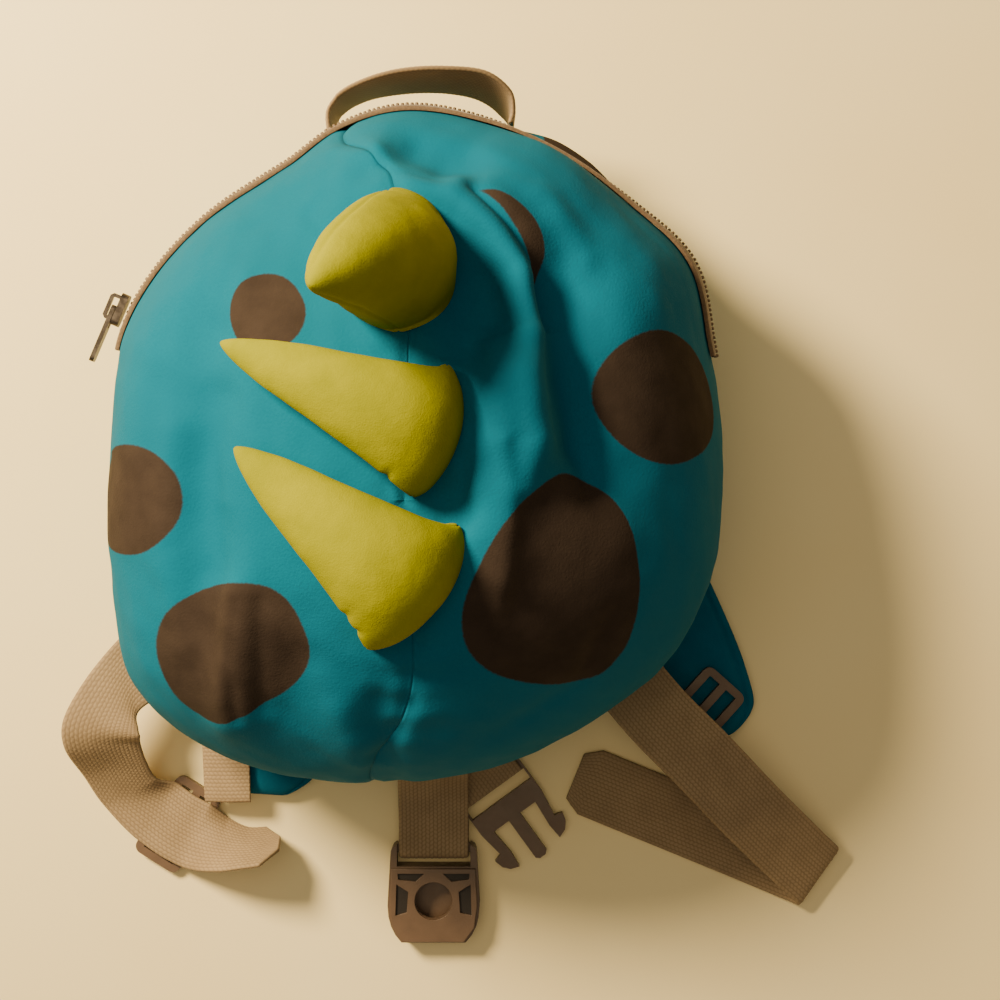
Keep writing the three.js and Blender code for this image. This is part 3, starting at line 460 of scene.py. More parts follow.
def pad_finish():
    """The same cloth as the bag's, without spots."""
    finish = Finish("pad_cloth", 0.9, Specular_IOR_Level=0.12)
    patches = finish.ramp(finish.noise(22), 0.3, 0.72)
    finish.colour(finish.mix(patches, TEAL_DEEP, TEAL))
    finish.bump((finish.noise(10, 2), 0.3), (finish.noise(0.75, 2), 0.14))
    return finish.material


def mesh_finish():
    """Open spacer mesh of the back padding, with painted shade in its holes."""
    finish = Finish("back_mesh", 0.9, Sheen_Weight=0.2)
    cells = finish.node("ShaderNodeTexVoronoi", Vector=finish.place(), Scale=1 / (2.4 * MM))
    cells.feature = "DISTANCE_TO_EDGE"
    holes = finish.ramp(cells.outputs["Distance"], 0.08, 0.3)
    # Painted shade: the holes, which are only bumps, are coloured darker
    finish.colour(finish.mix(holes, TEAL, MESH_HOLE_SHADE))
    finish.bump((finish.math("SUBTRACT", 1.0, holes), 0.5))
    return finish.material


def lime_finish():
    """Short felt, with darker fibres over slow patches."""
    finish = Finish("lime_felt", 0.9, Specular_IOR_Level=0.08)
    patches = finish.ramp(finish.noise(16))
    fibres = finish.ramp(finish.noise(0.6, 3))
    base = finish.mix(patches, LIME_DEEP, LIME)
    finish.colour(finish.mix(finish.math("MULTIPLY", fibres, 0.3), base, LIME_DEEP))
    finish.bump((finish.noise(6, 2), 0.3), (finish.noise(0.5, 3), 0.12))
    return finish.material


def webbing_finish():
    """Woven webbing: the ribs are in the mesh, and their height darkens the colour in the gaps
    between them as painted shade.
    """
    finish = Finish("taupe_webbing", 0.72, Sheen_Weight=0.05, Specular_IOR_Level=0.3)
    yarn = finish.ramp(finish.attribute("rib"), 0.05, 0.75)
    worn = finish.ramp(finish.noise(11))
    light = finish.mix(worn, TAUPE, TAUPE_WORN)
    # Painted shade: the colour is darker where the ribs are low
    finish.colour(finish.mix(yarn, TAUPE_GAP_SHADE, light))
    finish.bump((finish.noise(0.45, 3), 0.1))
    return finish.material


def tape_finish():
    """Tightly woven tape, whose threads show as a fine grain."""
    finish = Finish("zip_tape_cloth", 0.8, Sheen_Weight=0.2)
    threads = finish.ramp(finish.noise(0.8, 2))
    finish.colour(finish.mix(threads, TAPE_DEEP, TAPE_BROWN))
    finish.bump((finish.noise(0.6, 2), 0.15))
    return finish.material


def plastic_finish(name, colour, roughness):
    """Moulded plastic with darker blotches, uneven gloss and a fine eroded grain."""
    finish = Finish(name, roughness)
    blotches = finish.ramp(finish.noise(7), 0.3, 0.75)
    darker = tuple(channel * 0.78 for channel in colour[:3]) + (1,)
    finish.colour(finish.mix(blotches, darker, colour))
    finish.rough(finish.node("ShaderNodeMapRange", Value=finish.noise(3), To_Min=roughness - 0.08,
                             To_Max=roughness + 0.12).outputs["Result"])
    finish.bump((finish.noise(0.5, 2), 0.05))
    return finish.material


def metal_finish():
    """Dull metal, a little brighter where it is worn."""
    finish = Finish("slider_metal", 0.38, Metallic=0.85)
    wear = finish.ramp(finish.noise(2.2), 0.4, 0.7)
    finish.colour(finish.mix(wear, METAL, METAL_WORN))
    finish.bump((finish.noise(0.6, 2), 0.03))
    return finish.material


cloth = cloth_finish()
pad_cloth = pad_finish()
back_mesh = mesh_finish()
lime = lime_finish()
webbing_cloth = webbing_finish()
tape_cloth = tape_finish()
teeth_plastic = plastic_finish("teeth_plastic", TOOTH_BROWN, 0.45)
buckle_plastic = plastic_finish("buckle_plastic", PLASTIC, 0.42)
# The dark finish of the painted shade in the buckle's sunk fields
field_shade_plastic = plastic_finish("field_shade_plastic", PLASTIC_FIELD_SHADE, 0.6)
slider_metal = metal_finish()

# Spots: centre and half sizes in the flattened front, the long half's direction, how much
# narrower the spot is at the far end of it, and how square its outline is (2 is an ellipse). What
# lies within a hidden circle is tucked into the fold beside it
SPOTS = [
    {"x": -42, "y": 55.5, "long": 12.5, "wide": 11.5, "turn": 120, "egg": 0.0, "square": 2.2},
    {"x": -86, "y": 0, "long": 16.5, "wide": 16.5, "turn": 180, "egg": 0.05, "square": 2.1},
    {"x": -53, "y": -44.5, "long": 24, "wide": 19.5, "turn": 22, "egg": 0.05, "square": 2.5},
    {"x": 77, "y": 31, "long": 20.5, "wide": 18, "turn": 118, "egg": -0.05, "square": 2.2},
    {"x": 44.5, "y": -24.5, "long": 32.5, "wide": 25, "turn": 78, "egg": 0.26, "square": 2.35},
    {"x": 22, "y": 70, "long": 20, "wide": 20, "turn": 0, "egg": 0.0, "square": 2,
     "hidden": (-8, 46, 52.5)},
]

# From this fall on, the flattened front runs on evenly over the rim
FLAT_FALL = 1.1


def flat_place(turn, fall):
    """Where a point of the bag lies in the front view, run on over the rim."""
    beyond = np.maximum(fall - FLAT_FALL, 0)
    share = np.sin(np.minimum(fall, FLAT_FALL)) + math.cos(FLAT_FALL) * beyond
    out = reach_at(turn) * share
    return out * np.cos(np.radians(turn)), out * np.sin(np.radians(turn))


def spot_distance(turn, fall):
    """How far inside the nearest spot each point lies, in millimetres, negative outside."""
    x, y = flat_place(turn, fall)
    best = np.full(np.shape(x), -1e3)
    for spot in SPOTS:
        angle = math.radians(spot["turn"])
        along = (x - spot["x"]) * math.cos(angle) + (y - spot["y"]) * math.sin(angle)
        across = (y - spot["y"]) * math.cos(angle) - (x - spot["x"]) * math.sin(angle)
        wide = spot["wide"] * (1 - spot["egg"] * np.clip(along / spot["long"], -1.2, 1.2))
        power = spot["square"]
        ratio = (np.abs(along / spot["long"]) ** power + np.abs(across / wide) ** power)
        inside = (1 - ratio ** (1 / power)) * min(spot["long"], spot["wide"])
        if "hidden" in spot:
            middle_x, middle_y, radius = spot["hidden"]
            inside = np.minimum(inside, np.hypot(x - middle_x, y - middle_y) - radius)
        best = np.maximum(best, inside)
    return best


# Cloth of the bag

FRONT_ROWS = 150
FRONT_COLUMNS = 210
BAND_ROWS = 34
BAND_COLUMNS = 420
HEM = 3.0


def cloth_detail(points, turn, fall):
    """The fine lift of the cloth: creases, slack and puckers along the zip and the lower seam.

    Creases and slack fade out under the zip's tape, so that nothing pokes through it.
    """
    fade = np.clip(np.cos(np.minimum(fall, HALF_PI)), 0, 1) ** 0.25
    lift = lift_of(CREASES, points[..., :2]) * fade
    lift += 0.55 * ripples(points, 34, 3) + 0.22 * ripples(points, 12, 5)
    from_seam = (seam_fall(turn) - fall) * FRONT_PER_RADIAN
    clear_of_tape = np.clip((from_seam - TAPE_ABOVE) / 12, 0, 1) ** 2
    lift *= clear_of_tape + (1 - clear_of_tape) * 0.2
    pucker = np.sin(np.radians(turn) * 58 + 2 * np.sin(np.radians(turn) * 11))
    lift += 0.15 * pucker * np.exp(-(from_seam / 9) ** 2)
    return lift


def with_hems(grid):
    """A grid with its outer columns and its last row doubled, for the hems turned in there."""
    wide = np.concatenate([grid[:, :1], grid, grid[:, -1:]], 1)
    return np.concatenate([wide, wide[-1:]], 0)


def front_panel(side):
    """One cloth half of the front, from the crown out to the zip and the lower seam."""
    out = np.linspace(0, 1, FRONT_ROWS)[:, None]
    share = np.linspace(0, 1, FRONT_COLUMNS)[None, :]
    top = smooth_rows(SEAM_LINE[:, 0], SEAM_LINE[:, 1], out)
    bottom = smooth_rows(SEAM_LINE[:, 0], SEAM_LINE[:, 2], out)
    start, end = (top, bottom) if side == "left" else (bottom - 360, top)
    turn = start + (end - start) * share
    fall = seam_fall(turn) * out
    base = surface(turn, fall)
    normal = surface_normal(turn, fall)
    lift = cloth_detail(base, turn, fall)
    to_seam = np.radians(np.minimum(share, 1 - share) * (end - start)) * reach_at(turn) * out
    along = np.linalg.norm(base[..., :2], axis=-1)
    pucker = 0.3 * np.sin(along * 2 * math.pi / 9) * np.exp(-(to_seam / 6) ** 2)
    lift += pucker - 1.3 * np.exp(-(to_seam / 1.9) ** 2)
    from_rim = (seam_fall(turn) - fall) * FRONT_PER_RADIAN
    lift -= 0.9 * np.exp(-(from_rim / 2.0) ** 2)
    grid = with_hems(base + normal * lift[..., None])
    inward = with_hems(normal) * HEM
    grid[:, 0] -= inward[:, 0]
    grid[:, -1] -= inward[:, -1]
    grid[-1] -= inward[-1]
    rows, columns = grid.shape[:2]
    made = add_object(f"front_cloth_{side}", grid, grid_faces(rows, columns), cloth)
    store(made, "spot", spot_distance(with_hems(turn), with_hems(fall)))
    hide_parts(f"front_panel_{side}")


# The spot on the side wall behind the zip, at the upper right: direction and level of its middle
SIDE_SPOT = {"turn": 64, "level": 42, "long": 17, "wide": 13}


def side_band():
    """The side wall, from the zip or the lower seam round to the back."""
    share = np.linspace(0, 1, BAND_ROWS)[:, None]
    turn = np.broadcast_to(np.linspace(0, 360, BAND_COLUMNS, endpoint=False)[None, :],
                           (BAND_ROWS, BAND_COLUMNS))
    start = seam_fall(turn)
    fall = start + (math.pi - start) * share
    base = surface(turn, fall)
    normal = surface_normal(turn, fall)
    lift = 0.5 * ripples(base, 30, 8) + 0.25 * ripples(base, 11, 9)
    lift -= 1.0 * np.exp(-((fall - start) * WALL_PER_RADIAN / 2.0) ** 2)
    slack = np.sin(np.pi * np.clip(1 - share, 0.02, 0.98)) ** 0.3
    points = base + normal * (lift * slack)[..., None]
    hem = points[:1] - normal[:1] * HEM
    grid = np.concatenate([hem, points], 0)
    faces = grid_faces(BAND_ROWS + 1, BAND_COLUMNS, True)
    made = add_object("side_cloth", grid, faces, cloth)
    along = np.radians(turn - SIDE_SPOT["turn"]) * reach_at(turn)
    up = points[..., 2] - SIDE_SPOT["level"]
    ratio = np.hypot(along / SIDE_SPOT["long"], up / SIDE_SPOT["wide"])
    on_wall = (1 - ratio) * SIDE_SPOT["wide"]
    spots = np.maximum(spot_distance(turn, fall), on_wall)
    store(made, "spot", np.concatenate([spots[:1], spots], 0))
    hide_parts("side_band")


# The back's quilted channels: how far each runs from the middle, its depth and half width
CHANNEL_PLACE = 34
CHANNEL_DEPTH = 0.8
CHANNEL_HALF = 2.2


def back_cushion():
    """The padded back: a plate with a crowned underside, quilted in two channels."""
    rings = 40
    sides = 168
    turn = np.linspace(0, 360, sides, endpoint=False)
    direction = heading(turn)
    reach = reach_at(turn) - BACK_CORNER - CLEARANCE
    points = []
    for ring in range(rings):
        share = 1 - (1 - ring / (rings - 1)) ** 1.6
        plan = direction * (reach * share)[:, None]
        edge = 1.6 * share ** 24
        from_channel = (np.abs(plan[:, 0]) - CHANNEL_PLACE) / CHANNEL_HALF
        channel = CHANNEL_DEPTH * np.exp(-from_channel ** 2)
        level = BACK_LEVEL + 0.1 + edge + channel * (1 - edge / 1.7)
        points.append(np.column_stack([plan, level]))
    top_level = np.full(sides, BACK_LEVEL + BACK_PANEL_THICKNESS)
    top = np.column_stack([direction * reach[:, None], top_level])
    points.append(top)
    points.append(top * np.array([0.02, 0.02, 1]))
    faces = grid_faces(rings + 2, sides, True)
    made = add_object("back_cushion", points[::-1], faces, back_mesh)
    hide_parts("back_panel")


# Zip

ZIP_START = 26
ZIP_END = 153
TAPE_BELOW = 7
TAPE_THICKNESS = 1.2
TAPE_STEPS = 260
TOOTH_PITCH = 1.5
TOOTH_LENGTH = 3.4
TOOTH_SIDES = 8
TOOTH_LEVELS = [(0.4, 1), (1.5, 1), (1.95, 0.72)]


def zip_places(count):
    """Directions that divide the zip's path into equal lengths, and its length."""
    fine = np.linspace(ZIP_START, ZIP_END, 900)
    run = run_along(surface(fine, seam_fall(fine)))
    return np.interp(np.linspace(0, run[-1], count), run, fine), run[-1]


def zip_point(turn, across, lift):
    """A point on the zip, across it and above its seat."""
    fall = seam_fall(turn)
    speed = np.linalg.norm(surface(turn, fall + 0.02) - surface(turn, fall - 0.02), axis=-1) / 0.04
    return body_point(turn, fall + across / speed, lift + CLEARANCE + 0.1)


def zip_tape():
    """The tape on both sides of the teeth, with a stitched groove near its inner edge."""
    turns, _ = zip_places(TAPE_STEPS)
    above, below, thick = TAPE_ABOVE, TAPE_BELOW, TAPE_THICKNESS
    section = [
        (-above, 0), (-above, thick * 0.6), (-above + 0.6, thick), (-above + 1.6, thick * 1.1),
        (-above + 2.2, thick * 0.6), (-above + 2.8, thick), (-7, thick), (-3.2, thick),
        (-2.6, thick * 0.7), (-0.5, thick * 0.7), (0, thick * 0.5), (0.5, thick * 0.7),
        (2.6, thick * 0.7), (3.2, thick), (below - 0.5, thick), (below, thick * 0.6), (below, 0),
    ]
    grid = np.stack([zip_point(turns, across, lift) for across, lift in section])
    faces = grid_faces(len(section), len(turns))
    made = add_object("zip_tape_cloth", grid, faces, tape_cloth)
    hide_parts("zip_tape")


def tooth(place, along, across, out, side):
    """A moulded tooth: a rounded block that reaches past the middle from its own side."""
    half = TOOTH_PITCH * 0.42
    points = []
    for level, shrink in TOOTH_LEVELS:
        for step in range(TOOTH_SIDES):
            angle = 2 * math.pi * (step + 0.5) / TOOTH_SIDES
            square = 1 / max(abs(math.cos(angle)), abs(math.sin(angle)))
            reach = 0.45 + 0.55 * square / math.sqrt(2)
            points.append(
                place + out * level + along * (half * reach * math.cos(angle) * shrink * 1.15)
                + across * (side * TOOTH_LENGTH * 0.22 + TOOTH_LENGTH / 2 * reach * 1.1
                            * math.sin(angle) * shrink)
            )
    return points


def zip_teeth():
    """The closed zip's teeth, which reach in from either side in turn."""
    _, length = zip_places(10)
    count = int(length / TOOTH_PITCH)
    turns, _ = zip_places(count)
    middle = zip_point(turns, 0, 0)
    along = unit(np.gradient(middle, axis=0))
    across = unit(zip_point(turns, 1, 0) - zip_point(turns, -1, 0))
    out = unit(np.cross(across, along))
    out *= np.sign(np.sum(out * surface_normal(turns, seam_fall(turns)), -1))[:, None]
    points = []
    faces = []
    for index in range(count):
        start = len(points)
        side = 1 if index % 2 else -1
        points += tooth(middle[index], along[index], across[index], out[index], side)
        walls = grid_faces(len(TOOTH_LEVELS), TOOTH_SIDES, True, start)
        faces += [face[::-1] for face in walls]
        crown = start + (len(TOOTH_LEVELS) - 1) * TOOTH_SIDES
        faces.append([crown + step for step in range(TOOTH_SIDES)])
    add_object("zip_teeth", points, faces, teeth_plastic)


# Spikes

SPIKE_LENGTH = 66
SPIKE_BASE = 42
SPIKE_TIP = 3.2
SPIKE_SEAT = 0.95
SPIKE_RINGS = 90
SPIKE_SIDES = 96
CREASE_LENGTH = 0.022
CREASE_REACH = 0.9

# Base and tip in half widths, the tip's height in spike lengths, how high the curve rises before it
# flops over, the base's direction, and how wide, slit and swollen the horn is. Each crease has its
# share of the way out, its direction round the horn and its depth
SPIKES = [
    {"name": "spike_top", "base": (-0.04, 0.685), "tip": (-0.22, 0.55), "tip_lift": 0.697,
     "rise": 0.42, "turn": 95, "wide": 1, "slit": 0.9, "swell": 1,
     "creases": [(0.86, 1.6, 1.0)]},
    {"name": "spike_middle", "base": (0.07, 0.195), "tip": (-0.53, 0.45), "tip_lift": -0.061,
     "rise": 0.2, "turn": 76, "wide": 0.94, "slit": 0.45, "swell": 0.72,
     "creases": [(0.2, 2.7, 0.9)]},
    {"name": "spike_bottom", "base": (0.02, -0.245), "tip": (-0.49, 0.15), "tip_lift": -0.061,
     "rise": 0.2, "turn": 53, "wide": 1.06, "slit": 0.45, "swell": 0.72,
     "creases": [(0.17, 2.5, 1.5), (0.27, 2.75, 0.8)]},
]


def bezier(points, share):
    """A cubic Bezier curve's points and directions at shares of its way."""
    share = share[:, None]
    rest = 1 - share
    a, b, c, d = points
    place = rest ** 3 * a + 3 * rest ** 2 * share * b + 3 * rest * share ** 2 * c + share ** 3 * d
    slope = 3 * rest ** 2 * (b - a) + 6 * rest * share * (c - b) + 3 * share ** 2 * (d - c)
    return place, unit(slope)


def spike(row):
    """A stuffed horn sewn into the centre seam, which flops over to the left."""
    base = front_point(np.array(row["base"]) * HALF_WIDTH, SPIKE_SEAT)
    tip_level = CROWN_HEIGHT + row["tip_lift"] * SPIKE_LENGTH
    tip = np.append(np.array(row["tip"]) * HALF_WIDTH, tip_level)
    up = np.array([0, 0, 1.0])
    rise = SPIKE_LENGTH * row["rise"]
    straight = unit(tip - base)
    turn_over = base + up * rise + straight * rise * 0.3
    approach = tip - straight * SPIKE_LENGTH * 0.32 + up * rise * 0.45
    share = 1 - (1 - np.linspace(0, 1, SPIKE_RINGS)) ** 1.35
    place, forward = bezier([base, turn_over, approach, tip], share)
    angle = math.radians(row["turn"])
    level = np.array([math.cos(angle), math.sin(angle), 0])
    long = unit(level - forward * (forward @ level)[:, None])
    short = unit(np.cross(forward, long))
    share = share[:, None]
    blunt = SPIKE_TIP / (SPIKE_BASE / 2) * share * np.sqrt(1.0001 - share ** 6)
    taper = (1 - share ** 1.1) + blunt
    half = SPIKE_BASE / 2 * row["wide"] * taper
    filled = np.sin(HALF_PI * np.minimum(share * 2.5, 1))
    thick = row["slit"] + (row["swell"] - row["slit"]) * filled
    around_ring = np.linspace(0, 2 * math.pi, SPIKE_SIDES, endpoint=False)[None, :]
    lens = np.sin(around_ring) * np.abs(np.sin(around_ring)) ** (0.3 * (1 - share))
    points = (
        place[:, None] + long[:, None] * (half * np.cos(around_ring))[..., None]
        + short[:, None] * (half * thick * lens)[..., None]
    )
    outward = unit(points - place[:, None])
    seam = np.minimum(around_ring, 2 * math.pi - around_ring) * half
    far_seam = np.abs(around_ring - math.pi) * half
    lift = 0.3 * ripples(points, 22, 21) + 0.1 * ripples(points, 8, 22)
    lift -= 0.6 * np.exp(-(seam / 1.3) ** 2) + 0.6 * np.exp(-(far_seam / 1.3) ** 2)
    for middle, turned, deep in row["creases"]:
        along = (share - middle) / CREASE_LENGTH
        aside = np.angle(np.exp(1j * (around_ring - turned))) / CREASE_REACH
        lift -= deep * np.exp(-along ** 2 - aside ** 4)
    lift *= np.clip(half / 6, 0.1, 1)
    points = points + outward * lift[..., None]
    points[..., 2] = np.maximum(points[..., 2], front_point(points, 0.25)[..., 2])
    points[0] = front_point(points[0], 0.1)
    faces = [face[::-1] for face in grid_faces(SPIKE_RINGS, SPIKE_SIDES, True)]
    faces.append([(SPIKE_RINGS - 1) * SPIKE_SIDES + side for side in range(SPIKE_SIDES)])
    made = add_object(row["name"] + "_felt", points, faces, lime)
    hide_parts(row["name"])


# Webbing

WEB_WIDTH = 25
WEB_THICKNESS = 2
ROOT_GAP = CLEARANCE + 0.3
YARN_COLUMNS = 18
YARN_PITCH = 1.6
RIB_DEPTH = 0.26
WEB_STEP = 0.4
WEB_COLUMNS = 73
WEB_TIP = 6


def curve_points(points, shares):
    """Points of a centripetal curve through some points, evenly shared between them."""
    points = np.asarray(points, float)
    place = np.asarray(shares, float) * (len(points) - 1)
    index = np.clip(place.astype(int), 0, len(points) - 2)
    weight = (place - index)[:, None]
    held = np.vstack([2 * points[0] - points[1], points, 2 * points[-1] - points[-2]])
    before, start, end, after = (held[index + step] for step in range(4))

    def spacing(first, second):
        return np.sum((second - first) ** 2, -1, keepdims=True) ** 0.25

    middle = spacing(start, end)
    middle = np.where(middle < 1e-4, 1, middle)
    first = spacing(before, start)
    first = np.where(first < 1e-4, middle, first)
    last = spacing(end, after)
    last = np.where(last < 1e-4, middle, last)
    leave = ((start - before) / first - (end - before) / (first + middle) + (end - start) / middle)
    arrive = ((end - start) / middle - (after - start) / (middle + last) + (after - end) / last)
    leave = leave * middle
    arrive = arrive * middle
    return (
        start + leave * weight + (-3 * start + 3 * end - 2 * leave - arrive) * weight ** 2
        + (2 * start - 2 * end + leave + arrive) * weight ** 3
    )


def station(x, y, z, across):
    return np.array([x, y, z], float), np.array(across, float)


def root_stations(turn, level, reach):
    """Where webbing leaves the bag, with its width along the surface."""
    fall = fall_at_level(level)
    sideways = unit(surface(turn + 1, fall) - surface(turn - 1, fall))
    return [(body_point(turn, fall, lift), sideways) for lift in (ROOT_GAP, ROOT_GAP + reach)]


def webbing(name, stations, node, tip_share=1, folded=False):
    """Woven webbing along a smooth path, with its ribs in the mesh.

    Its far end narrows to the tip's share. Folded webbing keeps each station's own slanting half
    width.
    """
    fine = np.linspace(0, 1, 1200)
    places = [place for place, _ in stations]
    run = run_along(curve_points(places, fine))
    count = max(int(run[-1] / WEB_STEP), 8)
    shares = np.interp(np.linspace(0, run[-1], count), run, fine)
    path = curve_points(places, shares)
    forward = unit(np.gradient(path, axis=0))
    across = curve_points([width for _, width in stations], shares)
    if folded:
        width = np.linalg.norm(across, axis=-1, keepdims=True)
    else:
        width = np.ones((count, 1))
        across = across - forward * np.sum(across * forward, -1, keepdims=True)
    across = unit(across)
    normal = unit(np.cross(across, forward))
    distance = np.linspace(0, run[-1], count)[:, None]
    ending = np.clip((distance - (run[-1] - WEB_TIP)) / WEB_TIP, 0, 1)
    taper = 1 - (1 - tip_share) * ending
    side = np.linspace(-1, 1, WEB_COLUMNS)[None, :]
    body = np.sqrt(np.maximum(1 - np.abs(side) ** 14, 0.02))
    yarn = (side + 1) / 2 * YARN_COLUMNS
    hump = np.abs(np.sin(np.pi * yarn)) ** 0.5
    slope = 1 - 2 * (np.floor(yarn) % 2)
    beat = 0.5 + 0.5 * np.sin(2 * math.pi * (distance / YARN_PITCH + 0.5 * slope * (yarn % 1)))
    rib = 0.35 + hump * (0.15 + 0.5 * beat)
    height = WEB_THICKNESS / 2 - RIB_DEPTH * (1 - rib)
    wide = WEB_WIDTH / 2 * side * taper * width
    flat = path[:, None] + across[:, None] * wide[..., None]
    thick = normal[:, None] * (height * body)[..., None]
    grid = np.concatenate([flat + thick, (flat - thick)[:, ::-1]], 1)
    ribs = np.concatenate([rib, rib[:, ::-1]], 1)
    columns = grid.shape[1]
    last = (count - 1) * columns
    faces = grid_faces(count, columns, True)
    for low in range(WEB_COLUMNS - 1):
        high = columns - 1 - low
        faces.append((low, low + 1, high - 1, high))
        faces.append((last + high, last + high - 1, last + low + 1, last + low))
    made = add_object(name, grid, faces, webbing_cloth)
    store(made, "rib", ribs)
    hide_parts(node)


HANDLE_SPAN = 61
HANDLE_REACH = 14
HANDLE_RISE = 12
HANDLE_LEVEL = 41
HANDLE_SWING = 150

# Places along the handle, in shares of its span, reach and rise, and how far its width leans out
HANDLE_STATIONS = [
    (-0.5, 0.26, 0.04, 0), (-0.45, 0.58, 0.2, 0), (-0.32, 0.83, 0.55, 1), (-0.1, 0.98, 0.92, 4),
    (0.14, 1, 1, 6), (0.34, 0.9, 0.8, 11), (0.46, 0.6, 0.35, 10), (0.5, 0.28, 0.06, 2),
]


def grab_handle():
    """The arch of webbing over the zip's middle, on edge and leaning out as it bends."""
    half_turn = math.degrees(math.asin(HANDLE_SPAN / 2 / reach_at(90)))
    upward = np.array([0, 0, 1.0])
    fall = fall_at_level(HANDLE_LEVEL)
    left, right = (body_point(90 + turn, fall, ROOT_GAP) for turn in (half_turn, -half_turn))
    middle = (left + right) / 2
    crest = max(left[1], right[1])
    stations = [(left, upward)]
    for across, out, rise, lean in HANDLE_STATIONS:
        swing = math.radians(90 - HANDLE_SWING * across)
        tilt = math.radians(lean)
        outward = math.sin(tilt)
        width = (outward * math.cos(swing), outward * math.sin(swing), math.cos(tilt))
        stations.append(station(middle[0] + across * HANDLE_SPAN, crest + out * HANDLE_REACH,
                                HANDLE_LEVEL + rise * HANDLE_RISE, width))
    stations.append((right, upward))
    webbing("handle_webbing", stations, "grab_handle", folded=True)


TETHER_LENGTH = 33
TETHER_TURN = 272
BUCKLE_THICKNESS = 8.4
BAR_WIDTH = 3.2
BAR_THICKNESS = 3


def tether_strap():
    """The strap at bottom centre, which wraps round the buckle half's bar."""
    roots = root_stations(TETHER_TURN, STRAP_LEVEL, 3)
    x, y = roots[0][0][:2]
    buckle_y = y - TETHER_LENGTH
    bar_level = BUCKLE_THICKNESS / 2
    wrap = BAR_THICKNESS / 2 + CLEARANCE + 0.1 + WEB_THICKNESS / 2
    slot_y = buckle_y - BAR_WIDTH - CLEARANCE - 0.1 - WEB_THICKNESS / 2
    corner = slot_y + wrap * 0.25
    route = [
        (y - 8, 15.5), (y - 17, 10), (buckle_y + 5, bar_level + wrap + 0.4),
        (buckle_y - BAR_WIDTH * 0.8, bar_level + wrap), (corner, bar_level + wrap * 0.8),
        (slot_y, bar_level + BAR_THICKNESS * 0.3), (slot_y, bar_level - BAR_THICKNESS * 0.3),
        (corner, bar_level - wrap * 0.8), (buckle_y - BAR_WIDTH * 0.8, bar_level - wrap),
        (buckle_y + 7, bar_level - wrap),
    ]
    stations = roots + [station(x, along, level, (1, 0, 0)) for along, level in route]
    webbing("tether_webbing", stations, "tether_strap")


PRONG_TURN = 281
PRONG_LEVEL = 14
PRONG_HEADING = math.radians(-54)
PRONG_REACH = np.array([9, -21.5, 0])
PRONG_THICKNESS = 3.6


def prong_strap():
    """The short strap that comes down from under the bag to the pronged half's slot."""
    roots = root_stations(PRONG_TURN, PRONG_LEVEL, 3.4)
    slot_place = roots[0][0] + PRONG_REACH
    forward = np.array([math.cos(PRONG_HEADING), math.sin(PRONG_HEADING), 0])
    over = 0.2 + PRONG_THICKNESS + CLEARANCE + WEB_THICKNESS / 2
    stations = list(roots)
    for back, level, swing in ((12, 9.6, -14), (6.5, over + 1.6, -6), (1, over + 0.4, 0)):
        angle = PRONG_HEADING + HALF_PI + math.radians(swing)
        place = slot_place - forward * back
        stations.append(station(place[0], place[1], level, (math.cos(angle), math.sin(angle), 0)))
    webbing("prong_webbing", stations, "prong_strap", folded=True)


def scaled_stations(rows):
    """Stations whose places in the front view are in half widths."""
    return [station(x * HALF_WIDTH, y * HALF_WIDTH, z, across) for x, y, z, across in rows]


def webbing_left():
    """The left strap, which loops out from the bag and ends on edge beside the buckle half."""
    stations = root_stations(211, STRAP_LEVEL, 4) + scaled_stations([
        (-1.02, -0.608, 24, (0.31, -0.98, 0)), (-1.075, -0.71, 26.5, (0.75, -0.68, 0)),
        (-1.11, -0.795, 26.5, (1.08, -0.2, 0)), (-1.115, -0.85, 23, (1.06, 0.1, 0)),
        (-1.09, -0.95, 14, (0.92, 0.26, 0.2)), (-1.05, -1.04, 8, (0.8, 0.42, 0.2)),
        (-0.965, -1.11, 5, (0.62, 0.78, 0)), (-0.89, -1.165, 5, (0.53, 0.85, 0)),
        (-0.82, -1.2, 5.6, (0.42, 0.9, -0.03)), (-0.72, -1.225, 9.9, (0.12, 0.62, -0.7)),
        (-0.63, -1.23, 13, (0, 0.4, -0.9)), (-0.51, -1.215, 13.4, (-0.04, 0.34, -0.94)),
    ])
    webbing("webbing_left_woven", stations, "webbing_left", 0.35, folded=True)


def webbing_right():
    """The right strap, which runs out to a fold and comes back along the floor."""
    on_floor = WEB_THICKNESS / 2 + 0.1
    slant = unit(np.array([0.73, 0.68, 0]))
    back = unit(np.array([0.378, 0.926, 0]))
    stations = root_stations(319, STRAP_LEVEL, 5) + scaled_stations([
        (0.82, -0.75, 24, (0.76, 0.65, 0)), (0.96, -0.89, 26, slant), (1.14, -1.08, 21, slant),
        (1.33, -1.27, 11, slant), (1.405, -1.345, 5.8, (0.573, 0.82, 0)),
        (1.36, -1.33, on_floor + 0.9, back), (1.2, -1.265, on_floor + 0.2, back),
        (0.98, -1.175, on_floor, back), (0.74, -1.077, on_floor, back),
        (0.54, -0.995, on_floor, back),
    ])
    webbing("webbing_right_woven", stations, "webbing_right", 0.7, folded=True)


PAD_WIDTH = 38
PAD_THICKNESS = 9
PAD_END = 9
PAD_STEPS = 150
PAD_SIDES = 64


def lock_tab():
    """The short tab on the left pad that holds its ladder lock."""
    over = PAD_THICKNESS + CLEARANCE + WEB_THICKNESS / 2
    across = (-0.12, 0.98, 0)
    stations = scaled_stations([
        (-0.62, -0.948, over + 0.2, across), (-0.7, -0.95, over + 0.1, across),
        (-0.75, -0.951, over * 0.92, across), (-0.785, -0.952, over * 0.8, across),
    ])
    webbing("lock_tab_woven", stations, "lock_tab_left")


